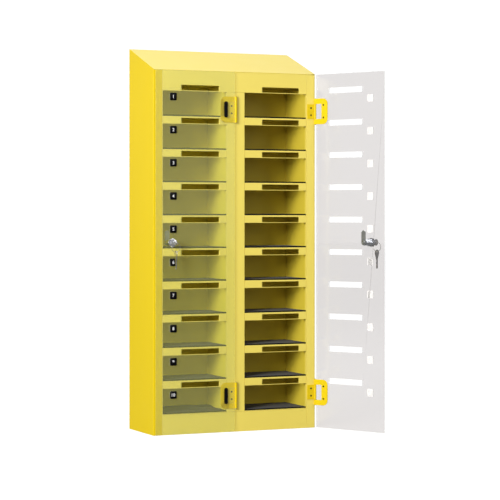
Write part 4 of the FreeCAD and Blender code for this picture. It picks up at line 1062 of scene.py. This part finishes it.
def key_mesh(thick, bow_radius, hole_in, bow_length, blade_width, blade_length, hole_radius):
    """A flat key about its ring hole: thickness along Z, blade along +Y, cuts along one edge."""
    centre = bow_radius - hole_in
    neck = bow_length - hole_in
    half = blade_width / 2
    outline = []
    for step in range(25):
        angle = math.radians(15 - 210 * step / 24)
        outline.append((bow_radius * math.cos(angle), centre + bow_radius * math.sin(angle)))
    left_side = [(-bow_radius * 0.86, centre + bow_radius * 0.5), (-bow_radius * 0.5, neck - 5 * MM),
                 (-half - 0.9 * MM, neck - 1.6 * MM), (-half, neck)]
    right_side = [(-x, y) for x, y in reversed(left_side)]
    cuts = []
    notch = blade_length / 7
    for step, deep in enumerate((0.5, 1.5, 0.9, 1.9, 1.1, 0.6)):
        start = neck + notch * (step + 0.35)
        cuts += [(-half, start), (-half + deep * MM, start + notch * 0.3),
                 (-half + deep * MM, start + notch * 0.55), (-half, start + notch * 0.8)]
    tip = [(-half + 0.4 * MM, neck + blade_length - 1.6 * MM), (0, neck + blade_length),
           (half, neck + blade_length - 2 * MM)]
    points = right_side + outline + left_side + cuts + tip
    body = rounded("key", prism("key", points, -thick / 2, thick / 2), 0.22 * MM)
    hole = prism("hole", oval(hole_radius, hole_radius, 32), -thick, thick)
    groove_low = neck - 1 * MM
    groove_high = neck + blade_length * 0.93
    grooves = [block((0.5 * MM, groove_low, thick * 0.28), (1.4 * MM, groove_high, thick)),
               block((-0.2 * MM, groove_low, -thick), (0.7 * MM, groove_high, -thick * 0.28))]
    panel = oval(bow_radius * 0.62, bow_radius * 0.42, 40, centre + 2.2 * MM)
    sunk = [prism("panel", panel, thick * 0.36, thick), prism("panel", panel, -thick, -thick * 0.36)]
    return carved("key", body, [hole] + grooves + sunk)


class LOCKER_OT_keys(bpy.types.Operator):
    """Make a cut key in each lock, its split ring and the spare key that hangs from it"""

    bl_idname = "locker.keys"
    bl_label = "Keys and rings"

    def execute(self, context):
        sizes = context.scene.locker_sizes
        for side in SIDES:
            space = door_space(side)
            back = space.inverted()
            hook = back @ Vector(JOINTS[side + "_ring_swing"]["pos_m"])
            hang = back @ Vector(JOINTS[side + "_spare_swing"]["pos_m"])
            low, high = islands(side + "_key", space)[0]
            bow_radius = (high.z - low.z) / 2
            hole_in = hook.y - low.y
            upright = Matrix.Rotation(math.radians(90), 4, "Y")
            hanging = Matrix.Rotation(math.radians(-90), 4, "X") @ upright
            for name, place, turn, group in ((side + "_key", hook, upright, side + "_key_group"),
                                             (side + "_spare_key", hang, hanging, side + "_spare_group")):
                mesh = key_mesh(high.x - low.x, bow_radius, hole_in, high.y - low.y - BLADE_LENGTH,
                                BLADE_WIDTH, BLADE_LENGTH, RING_HOLE)
                mesh.transform(space @ Matrix.Translation(place) @ turn)
                settle(as_piece(name + "_cut", mesh, "nickel"), group, "key_nickel", name)
            radius = (hook.z - hang.z) / 2
            ring = grown(side + "_ring", TREES["split_ring"], points_mesh([(0, 0, 0)]), {
                "Radius": radius, "Wire": sizes.wire, "Turns": float(sizes.ring_turns),
                "Material": finish("nickel")})
            middle = (hook + hang) / 2
            ring.transform(space @ Matrix.Translation(middle) @ Matrix.Rotation(math.radians(90), 4, "X"))
            name = side + "_split_ring"
            settle(as_piece(name + "_wound", ring, "nickel"), side + "_ring_group", "key_nickel", name)
        return {"FINISHED"}


# ---------------------------------------------------------------- foam mats

class LOCKER_OT_mats(bpy.types.Operator):
    """Lay a foam mat on every shelf; the bottom left one has buckled"""

    bl_idname = "locker.mats"
    bl_label = "Foam mats"

    def execute(self, context):
        sizes = context.scene.locker_sizes
        mats = islands("shelf_mats")
        lowest = min(low.z for low, high in mats)
        leftmost = min(low.x for low, high in mats)
        buckled = [box for box in mats if box[0].z - lowest < MM and box[0].x - leftmost < MM]
        flat = [box for box in mats if box not in buckled]
        for name, boxes, ripple, wave, seed in (("foam_mats", flat, sizes.ripple, sizes.ripple_size, 3.0),
                                                ("buckled_mat", buckled, sizes.buckle, 75 * MM, 5.0)):
            low, high = boxes[0]
            centres = [(a + b) / 2 for a, b in boxes]
            mesh = grown(name, TREES["foam_mat"], points_mesh(centres), {
                "Size": tuple(high - low), "Front": low.y + 12 * MM, "Back": high.y, "Ripple": ripple,
                "Ripple Size": wave, "Seed": seed, "Material": finish("foam")})
            mesh = rounded(name, mesh, 0.6 * MM)
            settle(as_piece(name, mesh, "foam"), "cabinet", "foam_mat", "shelf_mats")
        return {"FINISHED"}


# ---------------------------------------------------------------- outlets and supply

def outlet_parts(width, height, deep, proud):
    """Bezel and body, metal shell, and tongue of one outlet that faces +Z with its long side along X."""
    mouth_x, mouth_y = 12.4 * MM, 4.8 * MM
    bezel = prism("bezel", rounded_rectangle(width, height, 1.5 * MM), 0, proud)
    inner_x, inner_y = width / 2 - 1.8 * MM, height / 2 - 1.8 * MM
    rear = block((-inner_x, -inner_y, -deep), (inner_x, inner_y, 0))
    mouth = block((-mouth_x / 2, -mouth_y / 2, -deep * 0.8), (mouth_x / 2, mouth_y / 2, proud * 2))
    rear = carved("body", rear, [mouth])
    front = carved("bezel", rounded("bezel", bezel, 0.3 * MM), [mouth])
    housing = joined("housing", [front, rear])
    wall = 0.35 * MM
    shell = block((-mouth_x / 2, -mouth_y / 2, -deep * 0.8), (mouth_x / 2, mouth_y / 2, proud * 0.9))
    hollow = block((-mouth_x / 2 + wall, -mouth_y / 2 + wall, -deep * 0.75),
                   (mouth_x / 2 - wall, mouth_y / 2 - wall, proud * 2))
    shell = carved("shell", shell, [hollow])
    tongue = block((-mouth_x / 2 + 1 * MM, -0.1 * MM, -deep * 0.78),
                   (mouth_x / 2 - 1 * MM, 1.5 * MM, -0.6 * MM))
    contacts = []
    for step in range(4):
        x = (step - 1.5) * 2.4 * MM
        contacts.append(block((x - 0.5 * MM, -0.25 * MM, -deep * 0.7), (x + 0.5 * MM, -0.08 * MM, -1.4 * MM)))
    return housing, shell, rounded("tongue", tongue, 0.15 * MM), joined("contacts", contacts)


class LOCKER_OT_outlets(bpy.types.Operator):
    """Make the charging outlets in the bay walls"""

    bl_idname = "locker.outlets"
    bl_label = "Charging outlets"

    def execute(self, context):
        boxes = islands("usb_outlets")
        proud = 1 * MM
        low, high = boxes[0]
        deep = high.x - low.x - proud
        places = [Vector((b.x - proud, (a.y + b.y) / 2, (a.z + b.z) / 2)) for a, b in boxes]
        facing = (math.radians(90), 0, math.radians(90))
        parts = outlet_parts(high.y - low.y, high.z - low.z, deep, proud)
        # The outlet tongues take the label backs' white finish, painted glow included.
        names = (("outlet_housings", "plastic", "black_plastic"), ("outlet_shells", "nickel", "key_nickel"),
                 ("outlet_tongues", "backing", "black_plastic"), ("outlet_contacts", "brass", "key_nickel"))
        for mesh, (name, key, slot) in zip(parts, names):
            result = set_out(name, mesh, places, key, facing)
            replaced = ("usb_outlets",) if name == "outlet_housings" else ()
            settle(as_piece(name, result, key), "cabinet", slot, *replaced)
        return {"FINISHED"}


class LOCKER_OT_supply(bpy.types.Operator):
    """Finish the power supply, boards, leads and mains inlet"""

    bl_idname = "locker.supply"
    bl_label = "Charging supply"

    def execute(self, context):
        edge = context.scene.locker_sizes.small_edge
        refinish("power_supply", "case", "supply_case", edge)
        refinish("mains_inlet", "plastic", "black_plastic", edge)
        for side in SIDES:
            refinish(side + "_charger_board", "board", "circuit_board")
        for node in ("mains_lead", "low_voltage_leads"):
            refinish(node, "lead", "lead_jacket")
        return {"FINISHED"}


# ---------------------------------------------------------------- stage

def area_light(name, place, aim, width, height, power):
    lamp = bpy.data.lights.new(name, "AREA")
    lamp.shape = "RECTANGLE"
    lamp.size = width
    lamp.size_y = height
    lamp.energy = power
    holder = bpy.data.objects.new(name, lamp)
    bpy.context.scene.collection.objects.link(holder)
    holder.location = place
    holder.rotation_mode = "QUATERNION"
    holder.rotation_quaternion = (Vector(aim) - Vector(place)).to_track_quat("-Z", "Y")


class LOCKER_OT_stage(bpy.types.Operator):
    """Set the floor, the surroundings, the lights and the camera"""

    bl_idname = "locker.stage"
    bl_label = "Studio"

    def execute(self, context):
        scene = context.scene
        settings = scene.locker_stage
        scene.view_settings.view_transform = "Standard"
        reach = 30.0
        drop = -0.5 * MM
        mesh = bpy.data.meshes.new("floor")
        mesh.from_pydata([(x * reach, y * reach, drop) for x, y in ((-1, -1), (1, -1), (1, 1), (-1, 1))],
                         [], [(0, 1, 2, 3)])
        as_piece("studio_floor", mesh, "floor")
        world = bpy.data.worlds.new("studio")
        scene.world = world
        world.use_nodes = True
        tree = world.node_tree
        tree.nodes.clear()
        seen = add(tree, "ShaderNodeLightPath").outputs["Is Camera Ray"]
        light = add(tree, "ShaderNodeBackground", {
            "Color": rgba((1, 1, 1)), "Strength": spread(tree, seen, settings.world, settings.backdrop)})
        add(tree, "ShaderNodeOutputWorld", {"Surface": light.outputs["Background"]})
        middle = (CAD_BOX[0] + CAD_BOX[1]) / 2
        area_light("key", (-3.9, -2.7, 1.9), middle, 1.8, 1.8, settings.key)
        area_light("fill", (2.0, -4.6, 2.3), middle, 1.6, 1.4, settings.fill)
        area_light("top", (0.0, -0.6, 3.8), middle, 2.0, 1.4, settings.top)
        area_light("rear", (1.6, 2.2, 4.0), middle, 2.5, 2.5, settings.rear)
        lens = bpy.data.cameras.new("camera")
        lens.lens = settings.lens
        lens.shift_y = settings.shift
        lens.clip_end = 100.0
        camera = bpy.data.objects.new("camera", lens)
        scene.collection.objects.link(camera)
        camera.location = (-settings.distance * math.sin(settings.around),
                           -settings.distance * math.cos(settings.around), settings.height)
        camera.rotation_euler = (math.radians(90), 0, -settings.heading)
        scene.camera = camera
        return {"FINISHED"}


# ---------------------------------------------------------------- panel and registration

OPERATORS = (LOCKER_OT_stage, LOCKER_OT_sheet_metal, LOCKER_OT_doors, LOCKER_OT_labels, LOCKER_OT_hinges,
             LOCKER_OT_screws, LOCKER_OT_locks, LOCKER_OT_keys, LOCKER_OT_mats, LOCKER_OT_outlets,
             LOCKER_OT_supply)
SETTINGS = {"locker_colours": LockerColours, "locker_sizes": LockerSizes, "locker_stage": LockerStage}


class LOCKER_PT_sidebar(bpy.types.Panel):
    """Lists the locker's settings and the steps that make it"""

    bl_idname = "LOCKER_PT_sidebar"
    bl_label = "Phone locker"
    bl_space_type = "VIEW_3D"
    bl_region_type = "UI"
    bl_category = "Locker"

    def draw(self, context):
        for name in SETTINGS:
            column = self.layout.column()
            group = getattr(context.scene, name)
            for prop in group.bl_rna.properties:
                if prop.identifier not in ("rna_type", "name"):
                    column.prop(group, prop.identifier)
        for operator in OPERATORS:
            self.layout.operator(operator.bl_idname)


def register():
    for name, group in SETTINGS.items():
        bpy.utils.register_class(group)
        setattr(bpy.types.Scene, name, PointerProperty(type=group))
    for item in OPERATORS + (LOCKER_PT_sidebar,):
        bpy.utils.register_class(item)
    TREES.update(set_out=set_out_tree(), split_ring=split_ring_tree(), foam_mat=foam_mat_tree())


def unregister():
    for item in (LOCKER_PT_sidebar,) + OPERATORS:
        bpy.utils.unregister_class(item)
    for name, group in SETTINGS.items():
        delattr(bpy.types.Scene, name)
        bpy.utils.unregister_class(group)


def main():
    register()
    for operator in OPERATORS:
        group, action = operator.bl_idname.split(".")
        getattr(getattr(bpy.ops, group), action)()


if __name__ == "__main__":
    main()
